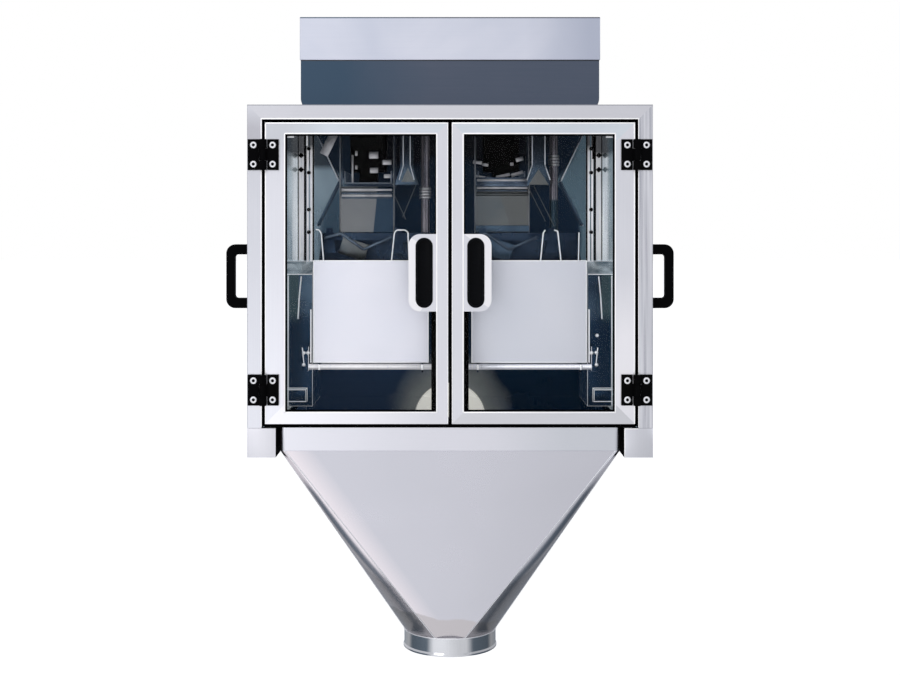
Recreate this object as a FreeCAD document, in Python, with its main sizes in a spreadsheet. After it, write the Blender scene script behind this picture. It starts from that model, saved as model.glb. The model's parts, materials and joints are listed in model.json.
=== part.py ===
import FreeCAD, Part
import math
import os
import Sketcher

# Two-head linear weigher: a stainless cabinet with two glazed doors, a feed hopper on its roof,
# two weigh buckets with bottom flaps inside, and a funnel that hangs below it with a round spout.
# Millimetres. The origin is the centre of the four bolt holes in the base rails, on their
# underside. The front looks towards -Y, and +X is to the right of someone who faces it.

doc = FreeCAD.newDocument("linear_weigher")

# Driving dimensions, one cell each

DRIVING = {
    # cabinet
    "cabinet_width": 660,
    "cabinet_depth": 440,
    "cabinet_top": 574,
    "skin": 3,
    "frame_depth": 20,
    "stile_width": 24,
    "head_rail": 24,
    "wall_cavity": 38,
    "liner_skin": 2,
    # base rails and their bolt holes
    "foot_height": 47.5,
    "foot_width": 46.5,
    "rail_wall": 3,
    "bolt_radius": 5.5,
    "bolt_row_depth": 360,
    # doors
    "door_gap": 5,
    "centre_gap": 6,
    "door_thickness": 15,
    "hinge_stile": 33,
    "centre_stile": 19.5,
    "door_head": 19,
    "door_sill": 20,
    "glass_thickness": 4,
    "glass_setback": 9,
    "glass_lap": 7,
    "glass_clearance": 0.3,
    # pull plate and finger cup
    "plate_reach": 45,
    "plate_height": 126,
    "plate_bottom": 190,
    "plate_sheet": 2.5,
    "plate_corner": 19,
    "cup_width": 28,
    "cup_height": 114,
    "cup_rim": 3,
    "cup_lip": 2.4,
    "cup_wall": 2.2,
    "cup_depth": 5.4,
    "cup_offset": 19.5,
    "cup_fit": 0.1,
    # hinges
    "hinge_size": 50,
    "hinge_leaf": 5,
    "knuckle_radius": 6,
    "knuckle_lift": 0.5,
    "knuckle_length": 20,
    "knuckle_gap": 0.5,
    "knuckle_room": 1,
    "hinge_pin_radius": 3,
    "hinge_running_fit": 0.05,
    "hinge_head_margin": 52.5,
    "hinge_sill_margin": 55.5,
    # side handles
    "handle_height": 105,
    "handle_reach": 38,
    "handle_leg": 16.6,
    "handle_bar": 13.6,
    "handle_width": 20,
    "handle_corner": 15,
    "handle_inner_corner": 5,
    "handle_setback": 36,
    "handle_middle": 294,
    # discharge funnel and spout
    "skirt_side_gap": 6.5,
    "skirt_front_gap": 4.5,
    "skirt_height": 39.5,
    "skirt_corner": 8,
    "flange_lap": 13.5,
    "cone_height": 344,
    "funnel_wall": 2,
    "flat_half": 26,
    "spout_radius": 81,
    "spout_length": 31,
    "spout_wall": 2.5,
    "spout_bead": 1.5,
    # feed hopper
    "hopper_width": 516,
    "hopper_depth": 280,
    "hopper_rear_gap": 10,
    "hopper_body_height": 90,
    "hopper_band_height": 74,
    "hopper_wall": 2.5,
    "hopper_corner": 24,
    "rim_overhang": 1.5,
    "outlet_width": 84,
    "outlet_depth": 66,
    # weigh buckets
    "head_gap": 91,
    "bucket_depth": 150,
    "bucket_setback": 90,
    "bucket_bottom": 150,
    "bucket_back_height": 215,
    "bucket_wall": 2.5,
    "bucket_gap": 14.5,
    "front_lap": 9.5,
    "front_height": 173,
    "front_drop": 4,
    "front_sheet": 3,
    "ear_top": 11,
    "ear_foot": 22,
    "ear_rise": 9,
    "ear_drop": 35,
    "ear_left": 12,
    "ear_right": 131,
    "bar_height": 13,
    "boss_radius": 14,
    # bucket flaps
    "rod_radius": 4.75,
    "rod_drop": 11,
    "rod_running_fit": 0.05,
    "rod_inset": 4,
    "rod_overhang": 21.5,
    "rod_overrun": 14,
    "lug_radius": 9,
    "lug_gap": 0.5,
    "flap_clearance": 3,
    "flap_sheet": 3,
    "flap_drop": 6,
    "lever_width": 11,
    "lever_depth": 14,
    "lever_rise": 34,
    # drive housings
    "housing_reach": 51,
    "housing_setback": 136,
    "housing_depth": 150,
    "housing_bottom": 67,
    "housing_top": 316,
    "housing_hip": 22,
    "ledge_reach": 14,
    "ledge_inset": 10,
    "ledge_bottom": 76,
    "ledge_height": 22,
    # feeders, chutes and gates
    "left_feed_offset": -11.5,
    "right_feed_offset": -42.5,
    "chute_width": 94,
    "chute_setback": 175,
    "chute_depth": 52,
    "chute_length": 205,
    "chute_sheet": 2,
    "gate_height": 80,
    "gate_sheet": 3,
    "rib_height": 2.4,
    "rib_pitch": 5.4,
    "tray_width": 84,
    "tray_inset": 35,
    "tray_rear_gap": 17,
    "tray_drop": 119,
    "tray_side": 22,
    "tray_sheet": 2,
    "drive_width": 64,
    "drive_depth": 44,
    "drive_inset": 5,
    # plates, posts and rods in the cabin
    "guide_clearance": 2,
    "guide_chute_gap": 2,
    "guide_upper_drop": 32,
    "guide_waist_drop": 115,
    "guide_length": 194,
    "guide_setback": 200,
    "guide_depth": 60,
    "divider_neck": 22,
    "divider_foot": 41,
    "divider_apex_drop": 93,
    "divider_length": 123,
    "divider_depth": 30,
    "divider_setback": 140,
    "left_divider_offset": 59,
    "right_divider_offset": 19,
    "column_radius": 7.5,
    "collar_radius": 10.5,
    "collar_height": 20,
    "column_setback": 190,
    "left_column_offset": 90,
    "right_column_offset": 48.5,
    "left_collar_drop": 126,
    "right_collar_drop": 69,
    "hanger_strip": 7,
    "hanger_spacing": 11,
    "hanger_rod_radius": 2,
    "post_side": 12,
    "post_rear_gap": 40,
    "knob_half_width": 5.5,
    "knob_length": 9,
    "upper_knob_drop": 60,
    "lower_knob_drop": 87,
}


def fill_sheet():
    """Write every driving dimension in a cell of its own, with its name as the alias."""
    table = doc.addObject("Spreadsheet::Sheet", "Sizes")
    for row, (name, value) in enumerate(DRIVING.items(), start=1):
        table.set(f"A{row}", name)
        table.set(f"B{row}", str(value))
        table.setAlias(f"B{row}", name)
    doc.recompute()
    return table


sheet = fill_sheet()


class Size:
    """A length that carries its value and its expression over the sheet."""

    def __init__(self, value, text):
        self.value = float(value)
        self.text = text

    def __add__(self, other):
        other = as_size(other)
        return Size(self.value + other.value, f"({self.text} + {other.text})")

    def __sub__(self, other):
        other = as_size(other)
        return Size(self.value - other.value, f"({self.text} - {other.text})")

    def __mul__(self, factor):
        return Size(self.value * factor, f"({self.text} * {factor})")

    def __truediv__(self, factor):
        return Size(self.value / factor, f"({self.text} / {factor})")

    def __neg__(self):
        return Size(-self.value, f"(-1 * {self.text})")


def as_size(number):
    return number if isinstance(number, Size) else Size(number, f"({number})")


def cell(name):
    return Size(float(sheet.get(name)), f"Sizes.{name}")


class Named:
    """Gives each cell of the sheet as an attribute."""

    def __getattr__(self, name):
        return cell(name)


D = Named()
ZERO = Size(0, "0")

# Planes and lines that several pieces share

half_width = D.cabinet_width / 2
face = -D.cabinet_depth / 2
rear = D.cabinet_depth / 2
frame_back = face + D.frame_depth
liner_face = half_width - D.skin - D.wall_cavity - D.liner_skin
flange_top = D.foot_height + D.funnel_wall
roof_underside = D.cabinet_top - D.skin
door_bottom = flange_top + D.door_gap
door_top = D.cabinet_top - D.head_rail - D.door_gap
door_outer = half_width - D.stile_width - D.door_gap
door_width = door_outer - D.centre_gap / 2
door_height = door_top - door_bottom
hinge_x = door_outer + D.door_gap / 2
hinge_y = face - D.knuckle_lift - D.knuckle_radius
housing_inner = liner_face - D.housing_reach
bucket_outer = housing_inner - D.bucket_gap
bucket_width = bucket_outer - D.head_gap / 2
bucket_x = bucket_outer - bucket_width / 2
bucket_front = face + D.bucket_setback
bucket_back = bucket_front + D.bucket_depth
front_bottom = D.bucket_bottom - D.front_drop
rod_y = bucket_front + D.rod_inset
rod_z = D.bucket_bottom - D.rod_drop
skirt_half_x = half_width - D.foot_width - D.skirt_side_gap
skirt_half_y = D.cabinet_depth / 2 - D.skirt_front_gap
skirt_foot = flange_top - D.skirt_height
spout_top = skirt_foot - D.cone_height
chute_front = face + D.chute_setback
chute_bottom = roof_underside - D.chute_length
tray_front = chute_front + D.tray_inset
tray_back = rear - D.tray_rear_gap
tray_floor = roof_underside - D.tray_drop
hopper_back = rear - D.hopper_rear_gap
hopper_front = hopper_back - D.hopper_depth
post_front = rear - D.post_rear_gap - D.post_side

SIDES = (("left", -1), ("right", 1))
SIGN = dict(SIDES)


# Modelling helpers

def bind(thing, prop, size):
    """Set a property to a size and tie it to the sheet."""
    thing.setExpression(prop, as_size(size).text)


def place(thing, x, y, z):
    start = FreeCAD.Vector(as_size(x).value, as_size(y).value, as_size(z).value)
    thing.Placement = FreeCAD.Placement(start, thing.Placement.Rotation)
    bind(thing, "Placement.Base.x", x)
    bind(thing, "Placement.Base.y", y)
    bind(thing, "Placement.Base.z", z)


def box(label, start, size):
    """A block from its lowest corner and its three sides."""
    block = doc.addObject("Part::Box", label)
    block.Label = label
    for prop, side in zip(("Length", "Width", "Height"), size):
        setattr(block, prop, as_size(side).value)
        bind(block, prop, side)
    place(block, *start)
    return block


def rod(label, start, direction, radius, length):
    """A round bar from the centre of its first end, along +X, +Y or +Z."""
    bar = doc.addObject("Part::Cylinder", label)
    bar.Label = label
    turn = FreeCAD.Rotation(FreeCAD.Vector(0, 0, 1), FreeCAD.Vector(*direction))
    bar.Placement = FreeCAD.Placement(FreeCAD.Vector(), turn)
    bar.Radius = as_size(radius).value
    bar.Height = as_size(length).value
    bind(bar, "Radius", radius)
    bind(bar, "Height", length)
    place(bar, *start)
    return bar


def join(label, pieces):
    fuse = doc.addObject("Part::MultiFuse", label)
    fuse.Label = label
    fuse.Shapes = pieces
    fuse.Refine = True
    return fuse


def cut(label, base, tool):
    result = doc.addObject("Part::Cut", label)
    result.Label = label
    result.Base = base
    result.Tool = tool
    return result


def group(label, pieces):
    """Like pieces on one body that don't touch, kept as separate solids in one node."""
    compound = doc.addObject("Part::Compound", label)
    compound.Label = label
    compound.Links = pieces
    return compound


def new_body(label, x=ZERO, y=ZERO, z=ZERO):
    body = doc.addObject("PartDesign::Body", label)
    body.Label = label
    place(body, x, y, z)
    return body


def new_sketch(body, plane, name, offset=None):
    """A sketch on one of the body's own planes, moved along the plane's normal by offset."""
    sketch = body.newObject("Sketcher::SketchObject", f"{body.Name}_{name}")
    base = next(o for o in body.Origin.OriginFeatures if o.Role == plane)
    sketch.AttachmentSupport = [(base, "")]
    sketch.MapMode = "FlatFace"
    if offset is not None:
        bind(sketch, "AttachmentOffset.Base.z", offset)
    return sketch


def pin_point(sketch, geometry, point, x, y):
    """Fix one point of a sketch at a place that follows the sheet."""
    for kind, size in (("DistanceX", x), ("DistanceY", y)):
        size = as_size(size)
        index = sketch.addConstraint(
            Sketcher.Constraint(kind, -1, 1, geometry, point, size.value)
        )
        sketch.setExpression(f"Constraints[{index}]", size.text)


def draw_outline(sketch, corners):
    """A closed outline of straight lines through the corners."""
    spots = [FreeCAD.Vector(as_size(x).value, as_size(y).value, 0) for x, y in corners]
    first = sketch.GeometryCount
    count = len(spots)
    for i, spot in enumerate(spots):
        sketch.addGeometry(Part.LineSegment(spot, spots[(i + 1) % count]), False)
    for i in range(count):
        after = first + (i + 1) % count
        sketch.addConstraint(Sketcher.Constraint("Coincident", first + i, 2, after, 1))
    for i, (x, y) in enumerate(corners):
        pin_point(sketch, first + i, 1, x, y)


def draw_rectangle(sketch, x0, y0, x1, y1):
    draw_outline(sketch, [(x0, y0), (x1, y0), (x1, y1), (x0, y1)])


def draw_circle(sketch, x, y, radius):
    radius = as_size(radius)
    centre = FreeCAD.Vector(as_size(x).value, as_size(y).value, 0)
    normal = FreeCAD.Vector(0, 0, 1)
    index = sketch.addGeometry(Part.Circle(centre, normal, radius.value), False)
    pin_point(sketch, index, 3, x, y)
    ring = sketch.addConstraint(Sketcher.Constraint("Radius", index, radius.value))
    sketch.setExpression(f"Constraints[{ring}]", radius.text)


def draw_slot(sketch, x, y, width, height):
    """An upright slot with round ends, from its centre."""
    radius = as_size(width) / 2
    reach = as_size(height) / 2 - radius
    middle = as_size(x)
    ends = [as_size(y) + reach, as_size(y) - reach]
    normal = FreeCAD.Vector(0, 0, 1)
    arcs = []
    for end, start in zip(ends, (0, math.pi)):
        circle = Part.Circle(FreeCAD.Vector(middle.value, end.value, 0), normal, radius.value)
        arcs.append(sketch.addGeometry(Part.ArcOfCircle(circle, start, start + math.pi), False))
    lines = []
    for sign, low, high in ((-1, ends[1], ends[0]), (1, ends[0], ends[1])):
        side = middle.value + sign * radius.value
        lines.append(
            sketch.addGeometry(
                Part.LineSegment(
                    FreeCAD.Vector(side, high.value, 0), FreeCAD.Vector(side, low.value, 0)
                ),
                False,
            )
        )
    for constraint in (
        ("Tangent", arcs[0], 2, lines[0], 1),
        ("Tangent", lines[0], 2, arcs[1], 1),
        ("Tangent", arcs[1], 2, lines[1], 1),
        ("Tangent", lines[1], 2, arcs[0], 1),
    ):
        sketch.addConstraint(Sketcher.Constraint(*constraint))
    for arc, end in zip(arcs, ends):
        pin_point(sketch, arc, 3, middle, end)
    ring = sketch.addConstraint(Sketcher.Constraint("Radius", arcs[0], radius.value))
    sketch.setExpression(f"Constraints[{ring}]", radius.text)


def pad(body, sketch, length, back=False):
    feature = body.newObject("PartDesign::Pad", f"{sketch.Name}_pad")
    feature.Profile = sketch
    feature.Length = as_size(length).value
    bind(feature, "Length", length)
    feature.Reversed = back
    doc.recompute()
    return feature


def pocket(body, sketch, depth=None, back=False):
    """Cut a sketch into the body, to a depth or right through, and make sure that it cuts."""
    before = body.Shape.Volume
    feature = body.newObject("PartDesign::Pocket", f"{sketch.Name}_pocket")
    feature.Profile = sketch
    if depth is None:
        feature.Type = "ThroughAll"
        feature.Midplane = True
    else:
        feature.Length = as_size(depth).value
        bind(feature, "Length", depth)
        feature.Reversed = back
    doc.recompute()
    if body.Shape.Volume >= before:
        raise ValueError(f"{feature.Name} cuts nothing")
    return feature


def dress(body, kind, name, size, keep):
    """Fillet or chamfer the edges of the body's tip that keep picks."""
    base = body.Tip
    picked = [f"Edge{i}" for i, edge in enumerate(base.Shape.Edges, start=1) if keep(edge)]
    feature = body.newObject(f"PartDesign::{kind}", f"{body.Name}_{name}")
    feature.Base = (base, picked)
    prop = "Radius" if kind == "Fillet" else "Size"
    setattr(feature, prop, as_size(size).value)
    bind(feature, prop, size)
    doc.recompute()
    return feature


NEAR = 0.01


def runs_along(edge, axis):
    """Whether a straight edge is parallel to an axis, given as 0, 1 or 2."""
    if len(edge.Vertexes) != 2 or edge.Curve.TypeId != "Part::GeomLine":
        return False
    step = edge.Vertexes[1].Point - edge.Vertexes[0].Point
    return abs(abs(step[axis]) - step.Length) < NEAR


def lies_at(edge, **where):
    """Whether the middle of an edge has the given coordinates."""
    middle = edge.CenterOfMass
    return all(abs(getattr(middle, k) - as_size(v).value) < NEAR for k, v in where.items())


def slab(label, plane, outline, thickness, at, back=False):
    """A body with one outline, padded from a place."""
    body = new_body(label, *at)
    sketch = new_sketch(body, plane, "outline")
    draw_outline(sketch, outline)
    pad(body, sketch, thickness, back)
    return body


# Cabinet

def make_front_frame():
    """The inverted U of the face: a head rail and two stiles that stand on the base rails."""
    inner = half_width - D.stile_width
    under = D.cabinet_top - D.head_rail
    outline = [
        (-half_width, D.foot_height),
        (-inner, D.foot_height),
        (-inner, under),
        (inner, under),
        (inner, D.foot_height),
        (half_width, D.foot_height),
        (half_width, D.cabinet_top),
        (-half_width, D.cabinet_top),
    ]
    return slab("front_frame", "XZ_Plane", outline, D.frame_depth, (ZERO, face, ZERO), back=True)


def make_base_rail(name, side):
    """A square tube from front to back, with two bolt holes through its underside."""
    low = -half_width if side < 0 else half_width - D.foot_width
    middle = low + D.foot_width / 2
    shell = box(f"base_rail_{name}_shell", (low, face, ZERO),
                (D.foot_width, D.cabinet_depth, D.foot_height))
    hollow = box(f"base_rail_{name}_hollow", (low + D.rail_wall, face + D.rail_wall, D.rail_wall),
                 (D.foot_width - D.rail_wall * 2, D.cabinet_depth - D.rail_wall * 2,
                  D.foot_height - D.rail_wall * 2))
    tube = cut(f"base_rail_{name}_tube", shell, hollow)
    drills = [
        rod(f"base_rail_{name}_drill_{k}", (middle, D.bolt_row_depth * k / 2, -D.rail_wall),
            (0, 0, 1), D.bolt_radius, D.rail_wall * 3)
        for k in (-1, 1)
    ]
    holes = join(f"base_rail_{name}_holes", drills)
    return cut(f"base_rail_{name}", tube, holes)


def make_side_panel(name, side):
    low = -half_width if side < 0 else half_width - D.skin
    return box(f"side_panel_{name}", (low, frame_back, D.foot_height),
               (D.skin, rear - frame_back, D.cabinet_top - D.foot_height))


def make_side_liner(name, side):
    """The polished inner wall: a folded sheet whose front and rear flanges meet the outer skin."""
    web = liner_face * side
    web_back = (liner_face + D.liner_skin) * side
    skin = (half_width - D.skin) * side
    front = frame_back
    back = rear - D.skin
    outline = [
        (web, front),
        (skin, front),
        (skin, front + D.liner_skin),
        (web_back, front + D.liner_skin),
        (web_back, back - D.liner_skin),
        (skin, back - D.liner_skin),
        (skin, back),
        (web, back),
    ]
    return slab(f"side_liner_{name}", "XY_Plane", outline, roof_underside - flange_top,
                (ZERO, ZERO, flange_top))


def beside_bucket(name, thing):
    """Where a thing of one head stands along X: its bucket's centre and its own offset."""
    return bucket_x * SIGN[name] + cell(f"{name}_{thing}_offset")


def make_roof_panel():
    """The roof sheet, with an outlet over each feeder tray."""
    inner = half_width - D.skin
    sheet_body = slab("roof_panel", "XY_Plane",
                      [(-inner, frame_back), (inner, frame_back), (inner, rear), (-inner, rear)],
                      D.skin, (ZERO, ZERO, roof_underside))
    outlets = new_sketch(sheet_body, "XY_Plane", "outlets")
    back = hopper_back - D.hopper_wall
    for name, _ in SIDES:
        middle = beside_bucket(name, "feed")
        draw_rectangle(outlets, middle - D.outlet_width / 2, back - D.outlet_depth,
                       middle + D.outlet_width / 2, back)
    pocket(sheet_body, outlets)
    return sheet_body


def make_back_panel():
    inner = half_width - D.skin
    return box("back_panel", (-inner, rear - D.skin, flange_top),
               (inner * 2, D.skin, roof_underside - flange_top))


# Discharge funnel: a straight skirt and a rectangle-to-round cone of eight welded panels

BEND_COUNT = 6
STEP_COUNT = 4


def skirt_block(label, inset):
    """A block as large as the skirt less the inset, with its upright edges rounded."""
    half_x = skirt_half_x - inset
    half_y = skirt_half_y - inset
    body = slab(label, "XY_Plane",
                [(-half_x, -half_y), (half_x, -half_y), (half_x, half_y), (-half_x, half_y)],
                D.skirt_height, (ZERO, ZERO, skirt_foot))
    dress(body, "Fillet", "corners", D.skirt_corner - inset, lambda e: runs_along(e, 2))
    return body


def make_funnel_skirt():
    """The straight upper part, hung by its side flanges from the tops of the base rails."""
    reach = skirt_half_x + D.skirt_side_gap + D.flange_lap
    straight = skirt_half_y - D.skirt_corner
    flanges = box("funnel_skirt_flanges", (-reach, -straight, D.foot_height),
                  (reach * 2, straight * 2, D.funnel_wall))
    outer = join("funnel_skirt_outer", [skirt_block("funnel_skirt_block", ZERO), flanges])
    return cut("funnel_skirt", outer, skirt_block("funnel_skirt_hollow", D.funnel_wall))


def around(centre, radius, first, last, steps, height):
    """Points on an arc at one height, from the first to the last angle."""
    return [
        FreeCAD.Vector(centre[0] + radius * math.cos(first + (last - first) * k / steps),
                       centre[1] + radius * math.sin(first + (last - first) * k / steps), height)
        for k in range(steps + 1)
    ]


def cone_rims(inset):
    """The upper and lower rim of each panel, for the cone's surface moved inwards by inset.

    The upper rim is a rectangle with round corners and the lower rim a circle. Each corner
    opens in small bends into a long arc of the circle, and each straight side runs down to a
    short one, so corner panels and flat panels take turns, anticlockwise from +X."""
    half_x = skirt_half_x.value - inset
    half_y = skirt_half_y.value - inset
    corner = D.skirt_corner.value - inset
    radius = D.spout_radius.value - inset
    lean = math.asin(D.flat_half.value / D.spout_radius.value)
    quarter = math.pi / 2
    top = skirt_foot.value
    foot = spout_top.value
    centres = [(x * (half_x - corner), y * (half_y - corner))
               for x, y in ((1, 1), (-1, 1), (-1, -1), (1, -1))]
    corners = []
    flats = []
    for index, centre in enumerate(centres):
        start = index * quarter
        end = start + quarter
        rim = around(centre, corner, start, end, BEND_COUNT, top)
        foot_rim = around((0, 0), radius, start + lean, end - lean, BEND_COUNT, foot)
        corners.append((rim, foot_rim))
        near = rim[-1]
        far = around(centres[(index + 1) % 4], corner, end, end, 1, top)[0]
        side = [near + (far - near) * (k / STEP_COUNT) for k in range(STEP_COUNT + 1)]
        flats.append((side, around((0, 0), radius, end - lean, end + lean, STEP_COUNT, foot)))
    return corners, flats


def facets(upper, lower):
    """Two flat triangles for each step between two rims."""
    faces = []
    for k in range(len(upper) - 1):
        for corners in ((upper[k], upper[k + 1], lower[k + 1]), (upper[k], lower[k + 1], lower[k])):
            faces.append(Part.Face(Part.makePolygon([*corners, corners[0]])))
    return faces


def cone_panel(outer, inner):
    """One panel as a solid, from the rims of its outer and its inner face."""
    faces = facets(*outer) + facets(*inner)
    for end in (0, -1):
        faces += facets([outer[0][end], inner[0][end]], [outer[1][end], inner[1][end]])
    for outer_rim, inner_rim in zip(outer, inner):
        faces.append(Part.Face(Part.makePolygon([*outer_rim, *inner_rim[::-1], outer_rim[0]])))
    shell = Part.makeShell(faces)
    shell.sewShape()
    panel = Part.makeSolid(shell)
    if panel.Volume < 0:
        panel.reverse()
    return panel


def make_cone_panels(label, kind):
    """Four like panels of the cone, kept as separate solids in one node."""
    outer = cone_rims(0)[kind]
    inner = cone_rims(D.funnel_wall.value)[kind]
    node = doc.addObject("Part::Feature", label)
    node.Label = label
    node.Shape = Part.makeCompound([cone_panel(*rims) for rims in zip(outer, inner)])
    return node


def make_spout_collar():
    """A round collar with a rolled bead at its mouth."""
    body = new_body("spout_collar", ZERO, ZERO, spout_top)
    sketch = new_sketch(body, "XZ_Plane", "section")
    inner = D.spout_radius - D.spout_wall
    bead = D.spout_radius + D.spout_bead
    draw_outline(sketch, [
        (inner, -D.spout_length),
        (bead, -D.spout_length),
        (bead, -D.spout_length + D.spout_bead * 2),
        (D.spout_radius, -D.spout_length + D.spout_bead * 4),
        (D.spout_radius, ZERO),
        (inner, ZERO),
    ])
    turn = body.newObject("PartDesign::Revolution", "spout_collar_turn")
    turn.Profile = sketch
    turn.ReferenceAxis = (sketch, ["V_Axis"])
    turn.Angle = 360
    doc.recompute()
    return body


# Feed hopper

def make_feed_hopper():
    """The lower hopper: a box of sheet whose lower side edges are rolled in."""
    outer = rolled_block("feed_hopper_outer", ZERO)
    inner = rolled_block("feed_hopper_inner", D.hopper_wall)
    half = D.hopper_width / 2 - D.hopper_corner
    mouth = box("feed_hopper_mouth",
                (-half, hopper_front + D.hopper_wall, D.cabinet_top - D.hopper_wall),
                (half * 2, D.hopper_depth - D.hopper_wall * 2, D.hopper_wall * 3))
    return cut("feed_hopper", outer, join("feed_hopper_inside", [inner, mouth]))


def rolled_block(label, inset):
    """A block as large as the lower hopper less the inset, with its lower side edges rolled."""
    half = D.hopper_width / 2 - inset
    top = D.hopper_body_height if inset is ZERO else D.hopper_body_height + inset
    body = slab(label, "XZ_Plane",
                [(-half, inset), (half, inset), (half, top), (-half, top)],
                D.hopper_depth - inset * 2, (ZERO, hopper_front + inset, D.cabinet_top), back=True)
    dress(body, "Fillet", "rolled_edges", D.hopper_corner - inset,
          lambda e: runs_along(e, 1) and lies_at(e, z=inset))
    return body


def make_hopper_rim():
    """The upper band, which stands a little proud of the hopper below it."""
    half = D.hopper_width / 2 + D.rim_overhang
    start = hopper_front - D.rim_overhang
    deep = D.hopper_depth + D.rim_overhang * 2
    body = slab("hopper_rim", "XY_Plane",
                [(-half, ZERO), (half, ZERO), (half, deep), (-half, deep)],
                D.hopper_band_height, (ZERO, start, D.cabinet_top + D.hopper_body_height))
    inside = new_sketch(body, "XY_Plane", "inside")
    wall = D.hopper_wall + D.rim_overhang
    draw_rectangle(inside, wall - half, wall, half - wall, deep - wall)
    pocket(body, inside)
    return body


# Side handles

def make_side_handle(name, side):
    """A moulded bridge handle with two legs on the cabinet's side."""
    half = D.handle_height / 2
    reach = D.handle_reach * side
    inner = (D.handle_reach - D.handle_bar) * side
    outline = [
        (ZERO, -half),
        (reach, -half),
        (reach, half),
        (ZERO, half),
        (ZERO, half - D.handle_leg),
        (inner, half - D.handle_leg),
        (inner, D.handle_leg - half),
        (ZERO, D.handle_leg - half),
    ]
    start = face + D.handle_setback - D.handle_width / 2
    body = slab(f"side_handle_{name}", "XZ_Plane", outline, D.handle_width,
                (half_width * side, start, D.handle_middle), back=True)
    dress(body, "Fillet", "outer_corners", D.handle_corner,
          lambda e: runs_along(e, 1) and lies_at(e, x=reach))
    dress(body, "Fillet", "inner_corners", D.handle_inner_corner,
          lambda e: runs_along(e, 1) and lies_at(e, x=inner))
    return body


# Doors

def make_door_frame(name, side):
    """A door frame with a rebate for the glass and a pull plate on its centre stile."""
    inward = -side
    edge = door_outer * side
    body = new_body(f"door_frame_{name}", edge, face, door_bottom)
    leaf = new_sketch(body, "XZ_Plane", "leaf")
    draw_rectangle(leaf, ZERO, ZERO, door_width * inward, door_height)
    pad(body, leaf, D.door_thickness, back=True)
    window = new_sketch(body, "XZ_Plane", "window")
    low = D.door_sill
    high = door_height - D.door_head
    near = D.hinge_stile
    far = door_width - D.centre_stile
    draw_rectangle(window, near * inward, low, far * inward, high)
    pocket(body, window)
    rebate = new_sketch(body, "XZ_Plane", "rebate", -D.door_thickness)
    lap = D.glass_lap
    draw_rectangle(rebate, (near - lap) * inward, low - lap, (far + lap) * inward, high + lap)
    pocket(body, rebate, D.door_thickness - D.glass_setback, back=True)
    plate = new_sketch(body, "XZ_Plane", "pull_plate")
    plate_low = D.plate_bottom - door_bottom + D.foot_height
    plate_high = plate_low + D.plate_height
    free = far - D.plate_reach
    draw_rectangle(plate, free * inward, plate_low, (far + lap) * inward, plate_high)
    pad(body, plate, D.plate_sheet, back=True)
    dress(body, "Fillet", "plate_corners", D.plate_corner,
          lambda e: runs_along(e, 1) and lies_at(e, x=free * inward))
    seat = new_sketch(body, "XZ_Plane", "cup_seat")
    middle = (far - D.cup_offset) * inward
    draw_slot(seat, middle, plate_low + D.plate_height / 2,
              D.cup_width - D.cup_lip * 2 + D.cup_fit * 2,
              D.cup_height - D.cup_lip * 2 + D.cup_fit * 2)
    pocket(body, seat, D.plate_sheet)
    return body


def make_door_glass(name, side):
    """One pane, seated against the shoulder of the rebate."""
    low = door_bottom + D.door_sill - D.glass_lap + D.glass_clearance
    high = door_top - D.door_head + D.glass_lap - D.glass_clearance
    near = D.hinge_stile - D.glass_lap + D.glass_clearance
    far = door_width - D.centre_stile + D.glass_lap - D.glass_clearance
    start = door_outer * side - far if side > 0 else near - door_outer
    return box(f"door_glass_{name}", (start, face + D.glass_setback, low),
               (far - near, D.glass_thickness, high - low))


def make_pull_cup(name, side):
    """A moulded finger cup: a rim on the plate and a pocket that goes through it."""
    inward = -side
    far = door_width - D.centre_stile
    middle = door_outer * side + (far - D.cup_offset) * inward
    height = D.plate_bottom + D.foot_height + D.plate_height / 2
    body = new_body(f"pull_cup_{name}", middle, face, height)
    rim = new_sketch(body, "XZ_Plane", "rim")
    draw_slot(rim, ZERO, ZERO, D.cup_width, D.cup_height)
    pad(body, rim, D.cup_rim)
    sleeve = new_sketch(body, "XZ_Plane", "sleeve")
    draw_slot(sleeve, ZERO, ZERO, D.cup_width - D.cup_lip * 2, D.cup_height - D.cup_lip * 2)
    pad(body, sleeve, D.cup_depth + D.cup_wall, back=True)
    hollow = new_sketch(body, "XZ_Plane", "hollow", D.cup_rim)
    wall = D.cup_lip + D.cup_wall
    draw_slot(hollow, ZERO, ZERO, D.cup_width - wall * 2, D.cup_height - wall * 2)
    pocket(body, hollow, D.cup_rim + D.cup_depth)
    return body


# Hinges: the frame half carries the pin, and the door half turns on it

def hinge_heights():
    return (("upper", door_top - D.hinge_head_margin), ("lower", door_bottom + D.hinge_sill_margin))


def make_frame_leaf(tag, side, height):
    """Leaf on the stile with the two outer knuckles and the pin."""
    low = height - D.hinge_size / 2
    half_knuckle = D.knuckle_length / 2 + D.knuckle_gap
    outer = D.hinge_size / 2
    room = D.knuckle_radius + D.knuckle_room
    leaf_low = hinge_x * side + (room if side > 0 else -outer)
    leaf = box(f"{tag}_leaf", (leaf_low, face - D.hinge_leaf, low),
               (outer - room, D.hinge_leaf, D.hinge_size))
    pieces = [leaf, rod(f"{tag}_pin", (hinge_x * side, hinge_y, low), (0, 0, 1),
                        D.hinge_pin_radius, D.hinge_size)]
    knuckle = D.hinge_size / 2 - half_knuckle
    web = room if side > 0 else ZERO - room
    for k, start in enumerate((low, height + half_knuckle)):
        pieces.append(rod(f"{tag}_knuckle_{k}", (hinge_x * side, hinge_y, start), (0, 0, 1),
                          D.knuckle_radius, knuckle))
        corner = hinge_x * side if side > 0 else hinge_x * side + web
        pieces.append(box(f"{tag}_web_{k}", (corner, face - D.hinge_leaf, start),
                          (room, D.hinge_leaf - D.knuckle_lift, knuckle)))
    return join(tag, pieces)


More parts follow.
